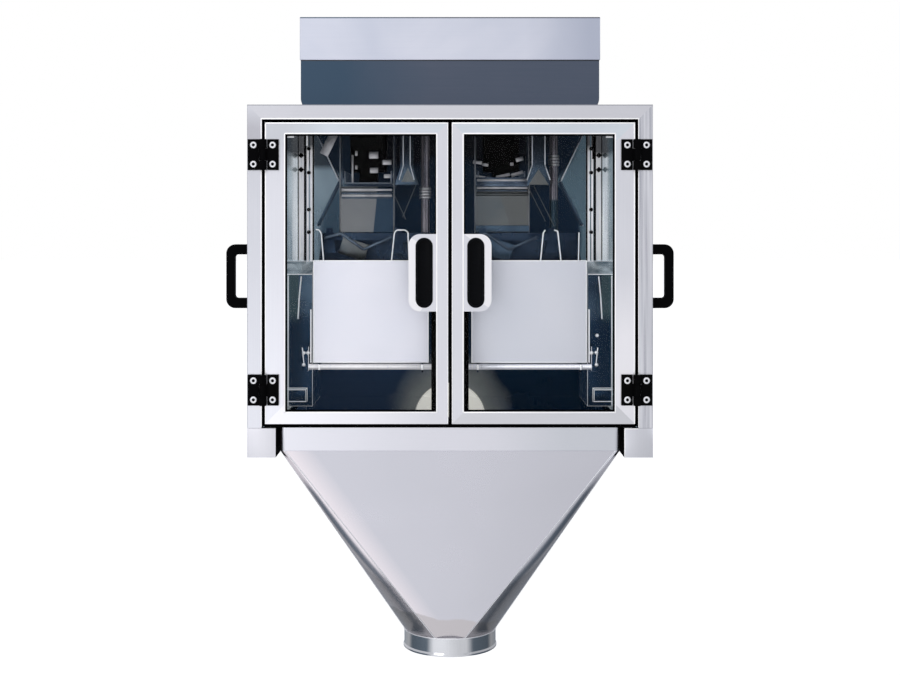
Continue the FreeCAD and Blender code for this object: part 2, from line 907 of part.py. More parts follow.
def make_frame_leaves():
    leaves = [
        make_frame_leaf(f"frame_leaf_{name}_{where}", side, height)
        for name, side in SIDES
        for where, height in hinge_heights()
    ]
    return group("hinge_frame_leaves", leaves)


def make_door_leaf(tag, side, height):
    """Leaf on the door with the middle knuckle, bored to run on the pin."""
    outer = D.hinge_size / 2
    room = D.knuckle_radius + D.knuckle_room
    leaf_low = hinge_x * side + (-outer if side > 0 else room)
    low = height - outer
    leaf = box(f"{tag}_leaf", (leaf_low, face - D.hinge_leaf, low),
               (outer - room, D.hinge_leaf, D.hinge_size))
    start = height - D.knuckle_length / 2
    knuckle = rod(f"{tag}_knuckle", (hinge_x * side, hinge_y, start), (0, 0, 1),
                  D.knuckle_radius, D.knuckle_length)
    corner = hinge_x * side - room if side > 0 else hinge_x * side
    web = box(f"{tag}_web", (corner, face - D.hinge_leaf, start),
              (room, D.hinge_leaf - D.knuckle_lift, D.knuckle_length))
    blank = join(f"{tag}_blank", [leaf, knuckle, web])
    bore = rod(f"{tag}_bore", (hinge_x * side, hinge_y, low), (0, 0, 1),
               D.hinge_pin_radius + D.hinge_running_fit, D.hinge_size)
    return cut(tag, blank, bore)


def make_door_leaves(name, side):
    leaves = [
        make_door_leaf(f"door_leaf_{name}_{where}", side, height)
        for where, height in hinge_heights()
    ]
    return group(f"hinge_door_leaves_{name}", leaves)


# Weigh buckets

def make_weigh_bucket(name, side):
    """An open shell, higher at the back, with two lugs for the flap's rod and two hanging ears."""
    centre = bucket_x * side
    half = bucket_width / 2
    top = front_bottom + D.front_height - D.bucket_bottom
    start = bucket_front + D.front_sheet
    deep = D.bucket_depth - D.front_sheet
    body = new_body(f"weigh_bucket_{name}", centre - half, start, D.bucket_bottom)
    profile = new_sketch(body, "YZ_Plane", "side")
    draw_outline(profile, [
        (ZERO, ZERO),
        (deep, ZERO),
        (deep, D.bucket_back_height),
        (deep / 2, D.bucket_back_height),
        (ZERO, top),
    ])
    pad(body, profile, bucket_width)
    inside = new_sketch(body, "XY_Plane", "inside")
    wall = D.bucket_wall
    draw_rectangle(inside, wall, wall, bucket_width - wall, deep - wall)
    pocket(body, inside)
    for k, at in enumerate((ZERO, bucket_width - wall)):
        lug = new_sketch(body, "YZ_Plane", f"lug_{k}", at)
        lug_y = rod_y - start
        lug_z = rod_z - D.bucket_bottom
        shoulder = front_bottom - D.bucket_bottom - D.lug_gap
        draw_outline(lug, [
            (ZERO, ZERO),
            (ZERO, shoulder),
            (lug_y - D.lug_radius, shoulder),
            (lug_y - D.lug_radius, lug_z),
            (lug_y - D.lug_radius / 2, lug_z - D.lug_radius),
            (lug_y + D.lug_radius / 2, lug_z - D.lug_radius),
            (lug_y + D.lug_radius, lug_z),
            (lug_y + D.lug_radius * 2, ZERO),
        ])
        draw_circle(lug, lug_y, lug_z, D.rod_radius + D.rod_running_fit)
        pad(body, lug, wall)
    bar = new_sketch(body, "XZ_Plane", "bar", -(deep / 2))
    draw_rectangle(bar, ZERO, D.bucket_back_height - D.bar_height,
                   bucket_width, D.bucket_back_height)
    pad(body, bar, wall, back=True)
    ears = new_sketch(body, "XZ_Plane", "ears", -(deep / 2))
    low = D.bucket_back_height - D.ear_drop
    high = D.bucket_back_height + D.ear_rise
    for at in (D.ear_left, D.ear_right):
        draw_outline(ears, [
            (at - D.ear_foot / 2, low),
            (at + D.ear_foot / 2, low),
            (at + D.ear_top / 2, high),
            (at - D.ear_top / 2, high),
        ])
    pad(body, ears, wall, back=True)
    return body


def make_bucket_front(name, side):
    """The bright square front plate of the bucket."""
    half = bucket_width / 2 + D.front_lap
    return slab(f"bucket_front_{name}", "XZ_Plane",
                [(-half, ZERO), (half, ZERO), (half, D.front_height), (-half, D.front_height)],
                D.front_sheet, (bucket_x * side, bucket_front, front_bottom), back=True)


def make_bucket_flap(name, side):
    """The bottom flap: a plate on a round rod, with a clamp lever at the rod's outer end."""
    inner_end = D.head_gap / 2 - D.rod_overhang
    outer_end = housing_inner + D.rod_overrun
    length = outer_end - inner_end
    rod_start = -outer_end if side < 0 else inner_end
    pivot = rod(f"flap_rod_{name}", (rod_start, rod_y, rod_z), (1, 0, 0),
                D.rod_radius, length)
    wide = bucket_width - (D.bucket_wall + D.flap_clearance) * 2
    top = D.bucket_bottom - D.flap_drop
    plate = box(f"flap_plate_{name}", (bucket_x * side - wide / 2, rod_y, top - D.flap_sheet),
                (wide, bucket_back - rod_y, D.flap_sheet))
    lever_x = -outer_end if side < 0 else outer_end - D.lever_width
    lever = box(f"flap_lever_{name}",
                (lever_x, rod_y - D.lever_depth / 2, rod_z - D.lever_depth / 2),
                (D.lever_width, D.lever_depth, D.lever_rise + D.lever_depth / 2))
    return join(f"bucket_flap_{name}", [pivot, plate, lever])


# Drive housings on the side walls

def make_drive_housing(name, side):
    """A sheet housing with a hipped top, a ledge at its foot and the boss that holds the bucket."""
    depth = D.housing_reach
    low = housing_inner if side > 0 else -liner_face
    start = face + D.housing_setback
    height = D.housing_top - D.housing_bottom
    body = new_body(f"drive_housing_{name}", low, start, D.housing_bottom)
    plan = new_sketch(body, "XY_Plane", "plan")
    draw_rectangle(plan, ZERO, ZERO, depth, D.housing_depth)
    pad(body, plan, height)
    inner_x = ZERO if side > 0 else depth
    dress(body, "Chamfer", "hip", D.housing_hip,
          lambda e: runs_along(e, 0) and lies_at(e, y=ZERO, z=height))
    ledge = new_sketch(body, "XY_Plane", "ledge", D.ledge_bottom - D.housing_bottom)
    inset = D.ledge_inset if side > 0 else ZERO
    draw_rectangle(ledge, inset, -D.ledge_reach, inset + depth - D.ledge_inset, ZERO)
    pad(body, ledge, D.ledge_height)
    boss = new_sketch(body, "YZ_Plane", "boss", inner_x)
    boss_y = bucket_front + D.bucket_depth * 2 / 3 - start
    draw_circle(boss, boss_y, D.bucket_bottom + D.bucket_back_height / 2 - D.housing_bottom,
                D.boss_radius)
    pad(body, boss, D.bucket_gap, back=side > 0)
    return body


# Feeders, chutes and gates

def make_feed_chutes():
    """Two cheeks on each head, under the roof, that carry the gate and guide the product down."""
    cheeks = [
        box(f"chute_cheek_{name}_{k}",
            (beside_bucket(name, "feed") + D.chute_width / 2 * k - D.chute_sheet / 2,
             chute_front, chute_bottom),
            (D.chute_sheet, D.chute_depth, D.chute_length))
        for name, _ in SIDES
        for k in (-1, 1)
    ]
    return group("feed_chutes", cheeks)


def make_gate(name):
    """A gate between the cheeks, with three rolled ribs along its top."""
    middle = beside_bucket(name, "feed")
    wide = D.chute_width - D.chute_sheet
    body = new_body(f"gate_{name}", middle - wide / 2, chute_front, chute_bottom)
    profile = new_sketch(body, "YZ_Plane", "profile")
    corners = [(D.gate_sheet, ZERO), (D.gate_sheet, D.gate_height), (ZERO, D.gate_height)]
    for k in range(3):
        top = D.gate_height - D.rib_pitch * k - D.rib_pitch / 5
        corners += [
            (ZERO, top),
            (-D.rib_height, top - D.rib_pitch / 5),
            (-D.rib_height, top - D.rib_pitch * 3 / 5),
            (ZERO, top - D.rib_pitch * 4 / 5),
        ]
    corners.append((ZERO, ZERO))
    draw_outline(profile, corners)
    pad(body, profile, wide)
    return body


def make_gate_panels():
    return group("gate_panels", [make_gate(name) for name, _ in SIDES])


def make_tray(name):
    """A vibrating tray: a channel open at the front, carried by the drive above it."""
    middle = beside_bucket(name, "feed")
    half = D.tray_width / 2
    inner = half - D.tray_sheet
    outline = [
        (-half, ZERO),
        (half, ZERO),
        (half, D.tray_side),
        (inner, D.tray_side),
        (inner, D.tray_sheet),
        (-inner, D.tray_sheet),
        (-inner, D.tray_side),
        (-half, D.tray_side),
    ]
    return slab(f"tray_{name}", "XZ_Plane", outline, tray_back - tray_front,
                (middle, tray_front, tray_floor), back=True)


def make_feeder_trays():
    return group("feeder_trays", [make_tray(name) for name, _ in SIDES])


def make_feeder_drive(name):
    """The black drive block between the roof and the tray."""
    middle = beside_bucket(name, "feed")
    foot = tray_floor + D.tray_sheet
    body = new_body(f"feeder_drive_{name}", middle, tray_front + D.drive_inset, foot)
    block = new_sketch(body, "XZ_Plane", "block")
    half = D.drive_width / 2
    height = roof_underside - foot
    draw_outline(block, [
        (-half / 2, ZERO),
        (half / 2, ZERO),
        (half / 2, height / 6),
        (half, height / 6),
        (half, height * 5 / 6),
        (half / 2, height),
        (-half / 2, height),
        (-half, height * 5 / 6),
        (-half, height / 6),
        (-half / 2, height / 6),
    ])
    pad(body, block, D.drive_depth, back=True)
    return body


def make_guide_plates():
    """Bent plates at the outer sides of the heads, narrowest at the level of the gates."""
    plates = []
    outer_feed = -beside_bucket("left", "feed")
    for name, side in SIDES:
        wide = (housing_inner - D.guide_clearance) * side
        waist = (D.guide_chute_gap + (D.chute_width + D.chute_sheet) / 2 + outer_feed) * side
        gauge = D.chute_sheet * side
        outline = [
            (wide, ZERO),
            (wide, -D.guide_upper_drop),
            (waist, -D.guide_waist_drop),
            (wide, -D.guide_length),
            (wide + gauge, -D.guide_length),
            (waist + gauge, -D.guide_waist_drop),
            (wide + gauge, -D.guide_upper_drop),
            (wide + gauge, ZERO),
        ]
        plates.append(slab(f"guide_plate_{name}", "XZ_Plane", outline, D.guide_depth,
                           (ZERO, face + D.guide_setback, roof_underside), back=True))
    return group("guide_plates", plates)


def make_divider_plates():
    """Narrow hangers that end in a small roof, which parts the product between the chutes."""
    dividers = []
    for name, _ in SIDES:
        neck = D.divider_neck / 2
        foot = D.divider_foot / 2
        outline = [
            (-neck, ZERO),
            (-neck, -D.divider_apex_drop),
            (-foot, -D.divider_length),
            (foot, -D.divider_length),
            (neck, -D.divider_apex_drop),
            (neck, ZERO),
        ]
        start = (beside_bucket(name, "divider"), face + D.divider_setback, roof_underside)
        dividers.append(slab(f"divider_{name}", "XZ_Plane", outline, D.divider_depth, start,
                             back=True))
    return group("divider_plates", dividers)


def make_collared_columns():
    """Round columns under the roof with a clamp collar each."""
    columns = []
    for name, _ in SIDES:
        collar_top = -cell(f"{name}_collar_drop")
        collar_foot = collar_top - D.collar_height
        body = new_body(f"column_{name}", beside_bucket(name, "column"),
                        face + D.column_setback, roof_underside)
        section = new_sketch(body, "XZ_Plane", "section")
        draw_outline(section, [
            (ZERO, ZERO),
            (ZERO, -D.chute_length),
            (D.column_radius, -D.chute_length),
            (D.column_radius, collar_foot),
            (D.collar_radius, collar_foot),
            (D.collar_radius, collar_top),
            (D.column_radius, collar_top),
            (D.column_radius, ZERO),
        ])
        turn = body.newObject("PartDesign::Revolution", f"column_{name}_turn")
        turn.Profile = section
        turn.ReferenceAxis = (section, ["V_Axis"])
        turn.Angle = 360
        doc.recompute()
        columns.append(body)
    return group("collared_columns", columns)


def make_hanger_rods():
    """A flat strip and a thin rod on each side, from the roof down to the drive housing."""
    pieces = []
    start = face + D.housing_setback + D.housing_hip + D.hanger_rod_radius
    height = roof_underside - D.housing_top
    foot = housing_inner
    for name, side in SIDES:
        strip_x = foot if side > 0 else -foot - D.hanger_strip
        pieces.append(box(f"hanger_strip_{name}", (strip_x, start, D.housing_top),
                          (D.hanger_strip, D.hanger_strip / 2, height)))
        rod_x = (foot + D.hanger_spacing) * side
        pieces.append(rod(f"hanger_rod_{name}", (rod_x, start, D.housing_top), (0, 0, 1),
                          D.hanger_rod_radius, height))
    return group("hanger_rods", pieces)


def make_corner_posts():
    """Square posts in the back corners of the cabin."""
    posts = []
    for name, side in SIDES:
        low = liner_face - D.post_side if side > 0 else -liner_face
        posts.append(box(f"corner_post_{name}", (low, post_front, flange_top),
                         (D.post_side, D.post_side, roof_underside - flange_top)))
    return group("corner_posts", posts)


def make_post_knobs():
    """Black diamond-shaped clamp knobs on the front of the corner posts."""
    half = D.knob_half_width
    diamond = [(half, ZERO), (ZERO, half), (-half, ZERO), (ZERO, -half)]
    knobs = [
        slab(f"knob_{name}_{where}", "XZ_Plane", diamond, D.knob_length,
             ((liner_face - D.post_side / 2) * side, post_front,
              roof_underside - cell(f"{where}_knob_drop")))
        for name, side in SIDES
        for where in ("upper", "lower")
    ]
    return group("post_knobs", knobs)


# Assembly

def make_everything():
    nodes = [
        make_front_frame(),
        make_roof_panel(),
        make_back_panel(),
        make_funnel_skirt(),
        make_cone_panels("funnel_corner_panels", 0),
        make_cone_panels("funnel_flat_panels", 1),
        make_spout_collar(),
        make_feed_hopper(),
        make_hopper_rim(),
        make_guide_plates(),
        make_divider_plates(),
        make_collared_columns(),
        make_hanger_rods(),
        make_corner_posts(),
        make_post_knobs(),
        make_frame_leaves(),
        make_feed_chutes(),
        make_gate_panels(),
        make_feeder_trays(),
    ]
    for name, side in SIDES:
        nodes += [
            make_base_rail(name, side),
            make_side_panel(name, side),
            make_side_liner(name, side),
            make_side_handle(name, side),
            make_door_frame(name, side),
            make_door_glass(name, side),
            make_pull_cup(name, side),
            make_door_leaves(name, side),
            make_weigh_bucket(name, side),
            make_bucket_front(name, side),
            make_bucket_flap(name, side),
            make_drive_housing(name, side),
            make_feeder_drive(name),
        ]
    return nodes


def check_document():
    """Stop if any object of the document failed to build."""
    for thing in doc.Objects:
        bad = {"Invalid", "Error"} & set(thing.State)
        if bad:
            raise ValueError(f"{thing.Name} is {sorted(bad)}")


def write_nodes(nodes):
    os.makedirs("parts", exist_ok=True)
    for node in nodes:
        shape = node.Shape
        if shape.isNull() or not shape.isValid() or not shape.Solids:
            raise ValueError(f"{node.Label} has no valid solid")
        shape.exportStep(f"parts/{node.Label}.step")
        print(f"{node.Label}: {len(shape.Solids)} solids, {shape.Volume / 1000:.1f} cm3")


everything = make_everything()
doc.recompute()
check_document()
write_nodes(everything)
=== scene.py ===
# %% [markdown]
# # A two-head linear weigher in stainless steel
#
# The machine fills bags by weight. Product falls from the hopper on the roof past two small
# feeders into two weigh buckets, and the buckets drop it through a funnel under the cabinet.
# This script dresses the machine's CAD parts, which come in at their real size in metres.

# %% Load the frame of CAD parts
import json
import math

import bmesh
import bpy
from mathutils import Matrix, Vector


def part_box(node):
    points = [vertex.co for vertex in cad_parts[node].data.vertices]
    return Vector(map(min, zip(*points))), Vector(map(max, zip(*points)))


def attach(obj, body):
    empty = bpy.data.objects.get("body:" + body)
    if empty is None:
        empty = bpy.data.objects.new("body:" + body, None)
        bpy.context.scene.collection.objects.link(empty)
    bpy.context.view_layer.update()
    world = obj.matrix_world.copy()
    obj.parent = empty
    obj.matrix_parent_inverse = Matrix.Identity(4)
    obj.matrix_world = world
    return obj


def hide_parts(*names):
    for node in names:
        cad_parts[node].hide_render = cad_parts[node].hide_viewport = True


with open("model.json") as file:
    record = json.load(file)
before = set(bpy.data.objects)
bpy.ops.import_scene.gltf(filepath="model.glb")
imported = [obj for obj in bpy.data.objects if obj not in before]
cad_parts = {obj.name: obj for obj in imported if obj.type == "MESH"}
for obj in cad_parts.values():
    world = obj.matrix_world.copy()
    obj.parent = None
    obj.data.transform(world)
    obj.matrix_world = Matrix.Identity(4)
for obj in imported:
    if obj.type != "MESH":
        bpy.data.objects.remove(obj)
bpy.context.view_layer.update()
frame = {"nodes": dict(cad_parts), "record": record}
mm = 0.001
SIDES = {"left": -1, "right": 1}

# %% [markdown]
# ## The camera
# The photograph looks level and square at the front from about two and a half metres. The lens
# is moved down in its frame, as a view camera does, so that the sides stay upright while the
# funnel fits under the cabinet.

# %% Place the camera
scene = bpy.context.scene
eye = bpy.data.cameras.new("front_view")
eye.sensor_width = 36
eye.lens = 58.45
eye.shift_y = -0.1194
eye.clip_end = 60
camera = bpy.data.objects.new("front_view", eye)
camera.location = (0, -2.596, 0.370)
camera.rotation_euler = (math.radians(90), 0, 0)
scene.collection.objects.link(camera)
scene.camera = camera
scene.view_settings.view_transform = "Standard"
print("camera at", tuple(camera.location))

# %% [markdown]
# ## Small helpers for shader nodes
# A material here is a few nodes wired together. One helper adds a node and fills its sockets,
# either with a value or with a wire from another node, which keeps each recipe short to read.
# The others stand for the sums, blends and random patterns that come back in every recipe.

# %% Helpers for shader nodes
def tone(red, green, blue):
    """A colour as a screen shows it, 0 to 255, in the linear light that shaders use."""
    parts = [c / 255 for c in (red, green, blue)]
    return tuple(c / 12.92 if c <= 0.04045 else ((c + 0.055) / 1.055) ** 2.4 for c in parts) + (1,)


def fill(tree, node, sockets):
    """Gives a node's sockets their values, or wires that come from other nodes."""
    for key, value in sockets.items():
        if isinstance(value, bpy.types.NodeSocket):
            tree.links.new(value, node.inputs[key])
        else:
            node.inputs[key].default_value = value
    return node


def add(tree, kind, sockets=None, **settings):
    """Adds a shader node to a tree, with its settings, values and wires."""
    made = tree.nodes.new("ShaderNode" + kind)
    for key, value in settings.items():
        setattr(made, key, value)
    return fill(tree, made, sockets or {})


def math_node(tree, operation, first, second=0.0, clamp=False):
    """One sum in a shader, with the answer as a socket."""
    return add(tree, "Math", {0: first, 1: second}, operation=operation, use_clamp=clamp).outputs[0]


def blend(tree, factor, low, high):
    """A colour between two colours."""
    return add(tree, "Mix", {0: factor, 6: low, 7: high}, data_type="RGBA").outputs[2]


def vector_node(tree, operation, first, second=(0, 0, 0)):
    """One sum with places or directions: the first output is a vector, the second a number."""
    return add(tree, "VectorMath", {0: first, 1: second}, operation=operation).outputs


def noise(tree, vector, scale, detail, **more):
    """Random soft clouds. A larger scale makes them smaller."""
    sockets = {"Vector": vector, "Scale": scale, "Detail": detail, **more}
    return add(tree, "TexNoise", sockets).outputs[0]


def new_group(name, inputs, outputs):
    """An empty shared effect, its inputs as sockets and the node that ends it."""
    group = bpy.data.node_groups.new(name, "ShaderNodeTree")
    for label, kind, value in inputs:
        socket = group.interface.new_socket(label, in_out="INPUT", socket_type="NodeSocket" + kind)
        if value is not None:
            socket.default_value = value
    for label, kind in outputs:
        group.interface.new_socket(label, in_out="OUTPUT", socket_type="NodeSocket" + kind)
    return group, group.nodes.new("NodeGroupInput").outputs, group.nodes.new("NodeGroupOutput")


print("white on screen is", tone(255, 255, 255))

# %% [markdown]
# ## The rolled and brushed look of sheet metal
# Stainless sheet is brushed along one direction, so it carries very long and very thin streaks.
# Rolling and handling leave a second, cloudy change of tone over a hand's width. The effect below
# makes both once, and every sheet on the machine uses it with its own direction and strength.
# Sheets inside the cabin are painted darker above a certain height, as a painted reflection of the
# dark underside of the roof, and the last two inputs set that height and how strong the painted
# shade is.

# %% The shared sheet metal effect
sheet_finish, given, out = new_group(
    "sheet finish",
    [("Vector", "Vector", None), ("Stretch", "Vector", (8, 8, 700)),
     ("Light", "Color", (1, 1, 1, 1)), ("Dark", "Color", (0.5, 0.5, 0.5, 1)),
     ("Grain", "Float", 0.5), ("Cloud", "Float", 0.5), ("Cloud Scale", "Float", 6.0),
     ("Roughness", "Float", 0.3), ("Shade Height", "Float", 9.0), ("Shade", "Float", 0.0)],
    [("Color", "Color"), ("Roughness", "Float"), ("Height", "Float")])
tree = sheet_finish
streak = vector_node(tree, "MULTIPLY", given["Vector"], given["Stretch"])[0]
grain = noise(tree, streak, 1.0, 4.0, Roughness=0.6)
cloud = noise(tree, given["Vector"], given["Cloud Scale"], 3.0, Distortion=0.7)
parts = [math_node(tree, "MULTIPLY", math_node(tree, "SUBTRACT", pattern, 0.5), strength)
         for pattern, strength in ((grain, given["Grain"]), (cloud, given["Cloud"]))]
both = math_node(tree, "ADD", *parts)
plain = blend(tree, math_node(tree, "ADD", both, 0.5, clamp=True), given["Dark"], given["Light"])
# Painted reflection of the dark roof: above the shade height the colour turns towards near black.
height = add(tree, "SeparateXYZ", {0: given["Vector"]}).outputs[2]
above = add(tree, "MapRange", {0: math_node(tree, "SUBTRACT", height, given["Shade Height"]),
                               1: -0.006, 2: 0.006, 3: 0.0, 4: 1.0}).outputs[0]
shaded = math_node(tree, "MULTIPLY", above, given["Shade"])
fill(tree, out, {
    "Color": blend(tree, shaded, plain, (0.008, 0.011, 0.018, 1)), "Height": grain,
    "Roughness": math_node(tree, "ADD", given["Roughness"],
                           math_node(tree, "MULTIPLY", both, 0.12), clamp=True)})
print("effect", tree.name, "with", len(tree.nodes), "nodes")

# %% [markdown]
# ## From an effect to a material
# Every sheet and moulded part gets its finish the same way. Colour, roughness and relief come out
# of a shared effect, and the relief is a very shallow bump that breaks up the reflections. A few
# plain values, such as how metallic it is, belong to the finish itself.

# %% Helpers for materials
def add_effect(tree, effect, sockets):
    """Places a shared effect in a tree and gives its outputs."""
    part = tree.nodes.new("ShaderNodeGroup")
    part.node_tree = effect
    return fill(tree, part, sockets).outputs


def surface(name, effect, sockets, bump, depth, plain, glow=0.0):
    """A material whose colour, roughness and relief come from a shared effect."""
    material = bpy.data.materials.new(name)
    material.use_nodes = True
    tree = material.node_tree
    made = add_effect(tree, effect, {"Vector": add(tree, "TexCoord").outputs["Object"], **sockets})
    relief = add(tree, "Bump", {"Strength": bump, "Distance": depth, "Height": made["Height"]})
    wires = {"Base Color": made["Color"], "Roughness": made["Roughness"],
             "Normal": relief.outputs[0], **plain}
    if glow:
        wires.update({"Emission Color": made["Color"], "Emission Strength": glow})
    fill(tree, tree.nodes["Principled BSDF"], wires)
    return material


print("helpers for materials ready")

# %% [markdown]
# ## Steels outside
# Each steel is the same effect with its own tones, brushing direction and roughness. Streaks that
# run across the machine are short in height, and streaks that run down it are short in width.
# Ground edges have no direction, and they are brighter than the sheet they end, partly as ground
# steel and partly as a painted highlight. A few steels are lit or shaded copies of another, as
# painted light and painted shade.

# %% Make the outer steels
ACROSS, UPRIGHT, EVEN = (9, 9, 650), (650, 650, 9), (160, 160, 160)


def steel(name, light, dark, stretch=ACROSS, grain=0.5, cloud=0.5, cloud_scale=6.0, rough=0.3,
          bump=0.05, shade_height=9.0, shade=0.0, glow=0.0):
    """A stainless steel sheet finish. The glow is painted light: in the cabin it stands for light
    that the walls pass on, and on catching edges it is a painted highlight.
    """
    return surface(name, sheet_finish, {
        "Stretch": stretch, "Light": tone(*light), "Dark": tone(*dark), "Grain": grain,
        "Cloud": cloud, "Cloud Scale": cloud_scale, "Roughness": rough,
        "Shade Height": shade_height, "Shade": shade}, bump, 0.4 * mm, {"Metallic": 1.0}, glow)


bright_across = steel("bright steel brushed across", (222, 222, 229), (203, 204, 212))
bright_upright = steel("bright steel brushed upright", (220, 221, 229), (200, 202, 210), UPRIGHT)
frame_upright = steel("frame stile steel", (220, 221, 229), (200, 202, 210), UPRIGHT)
# The folded stile's strong light and dark upright streaks are painted light and shade of its folds.
fluted_steel = steel("folded stile", (230, 231, 238), (176, 178, 188), (240, 240, 3), grain=2.4,
                     cloud_scale=5)
# The turned lip's darker tone is a painted reflection.
lip_steel = steel("turned lip", (168, 170, 178), (136, 139, 148), cloud_scale=9, rough=0.4)
# The left base rail's lighter steel is painted light; the right rail keeps the plain upright steel.
lit_base_steel = steel("base rail steel in painted light", (240, 240, 247), (226, 226, 233), UPRIGHT, grain=0.4,
                   cloud_scale=7, rough=0.52)
funnel_steel = steel("funnel steel", (228, 228, 237), (213, 214, 222), grain=0.3, cloud=0.8,
                     cloud_scale=4, rough=0.32)
cone_steel = steel("cone steel", (217, 217, 227), (202, 203, 212), UPRIGHT, grain=0.3, cloud=0.9,
                   cloud_scale=4, rough=0.26)
band_steel = steel("cloudy polished band", (224, 226, 238), (194, 201, 219), grain=0.2, cloud=1.8,
                   cloud_scale=5)
slate_steel = steel("slate steel", (93, 99, 115), (76, 87, 103), grain=0.6, cloud=1.2,
                    cloud_scale=3, rough=0.36)
polished_steel = steel("polished steel", (232, 233, 237), (196, 199, 206), UPRIGHT, grain=0.3,
                       cloud=0.6, cloud_scale=14, rough=0.13, bump=0.02)
door_across = steel("door steel brushed across", (226, 232, 240), (204, 212, 221), cloud=0.9,
                    cloud_scale=11)
door_upright = steel("door steel brushed upright", (231, 232, 240), (213, 214, 222), UPRIGHT)
# The door sills are a lit and a shaded copy: painted light on the left door, painted shade on the
# right.
sill_steels = {"left": steel("door sill in painted light", (238, 238, 244), (229, 229, 236)),
               "right": steel("door sill in painted shade", (221, 222, 228), (207, 208, 214))}
plate_steel = steel("pull plate", (250, 249, 253), (238, 238, 243), UPRIGHT, grain=0.3, cloud=0.4,
                    cloud_scale=9, rough=0.34)
# The brighter tone of the rounded edges is partly ground steel and partly a painted highlight; the
# catching edge also glows, as a painted highlight.
edge = {"stretch": EVEN, "cloud": 0.3, "cloud_scale": 9, "rough": 0.5}
edge_steel = steel("ground edge", (250, 250, 254), (232, 234, 240), grain=0.4, **edge)
painted_highlight_edge = steel("catching edge", (255, 255, 255), (248, 248, 251), grain=0.3, glow=0.16, **edge)
print("outer steels", len(bpy.data.materials))

# %% [markdown]
# ## Steels inside the cabin
# The sheets behind the glass are the same steel in half shade, so their darker and bluer tones are
# painted shade, and their larger clouds are partly the sheet's own tone and partly painted
# reflections. A small glow of their own colour is painted light for the light that goes to and fro
# between the walls, which would otherwise take many more light bounces to build up.

# %% Make the steels of the cabin
mirror_steel = steel("polished liner", (232, 240, 244), (128, 146, 158), UPRIGHT, grain=1.8,
                     cloud=1.8, cloud_scale=9, rough=0.11, bump=0.01, shade_height=0.506,
                     shade=0.88, glow=0.26)
sheet = {"stretch": UPRIGHT, "grain": 0.3, "rough": 0.22, "bump": 0.03, "shade_height": 0.48,
         "shade": 0.75, "glow": 0.2}
inner_steel = steel("inner steel in painted shade", (104, 118, 134), (40, 52, 70), cloud=2.2,
                    cloud_scale=9, **sheet)
divider_steel = steel("divider steel in painted shade", (74, 88, 102), (30, 42, 56), cloud=2.0, cloud_scale=12,
                      **sheet)
back_steel = steel("rear wall inside", (140, 155, 165), (92, 108, 120), UPRIGHT, grain=0.2,
                   cloud=2.0, bump=0.02, shade_height=0.49, shade=0.85, glow=0.5)
navy_steel = steel("shaded navy steel", (70, 87, 104), (24, 37, 52), UPRIGHT, grain=0.2, cloud=2.4,
                   cloud_scale=9, rough=0.25, bump=0.02, shade_height=0.48, shade=0.6, glow=0.4)
bucket_steel = steel("shaded bucket steel", (52, 66, 84), (16, 27, 42), UPRIGHT, grain=0.2,
                     cloud=2.4, cloud_scale=14, rough=0.25, bump=0.02, glow=0.2)
satin_steel = steel("satin steel plate", (240, 238, 246), (223, 224, 233), grain=0.3, cloud=0.9,
                    cloud_scale=9, rough=0.4)
# The hip's light tone and glow are painted light on the sloping tops of the housings.
lit_hip_steel = steel("hip of the housing in painted light", (196, 206, 212), (96, 112, 124), cloud=2.6, cloud_scale=40,
                  rough=0.2, glow=0.4)
# The posts and the left pivot rod are painted bright with a glow, as painted light, and the right
# pivot rod is a dimmer copy in painted shade; above a height both are painted dark as the roof's
# reflection.
post = {"stretch": UPRIGHT, "cloud": 0.9, "cloud_scale": 12, "rough": 0.42,
        "shade_height": 0.512, "shade": 0.85}
post_steel = steel("bright post", (254, 251, 251), (206, 207, 212), grain=2.6, glow=0.34, **post)
pivot_steels = {"left": post_steel, "right": steel("pivot rod in painted shade", (240, 240, 246),
                                                   (204, 206, 213), grain=2.0, glow=0.27, **post)}
# The column's strong upright streaks are painted highlights, and its glow is painted light.
column_steel = steel("turned column", (128, 124, 130), (48, 50, 60), (500, 500, 3), grain=3.0,
                     cloud=0.8, cloud_scale=9, rough=0.25, glow=0.15)
rib_steel = steel("rib and tab steel", (206, 204, 206), (150, 150, 154), grain=0.4, cloud=2.0,
                  cloud_scale=30, rough=0.4)
gate = {"grain": 0.3, "cloud_scale": 16, "rough": 0.32}
gate_left = steel("gate plate", (122, 124, 126), (96, 100, 106), cloud=1.4, **gate)
gate_right = steel("gate plate, right", (112, 114, 114), (84, 92, 98), cloud=1.8, **gate)
print("steels", len(bpy.data.materials))

# %% [markdown]
# ## Tones with an edge
# Polished sheet mirrors what stands round it, and some of these mirror images have a clear edge,
# so they are painted into the colour as painted reflections. The rear wall shows a painted
# reflection of the round light of the spout, the gate plates and the drive housings show a painted
# pale field beside a painted dark one, and the foot of the funnel is tinted by the heat of its
# weld.
# One effect lays a second tone over a sheet's own, past a slanted line or inside a round spot.
# A wide, soft edge also paints the slow change from light to dark along the long outer sheets, as
# painted light and painted shade.

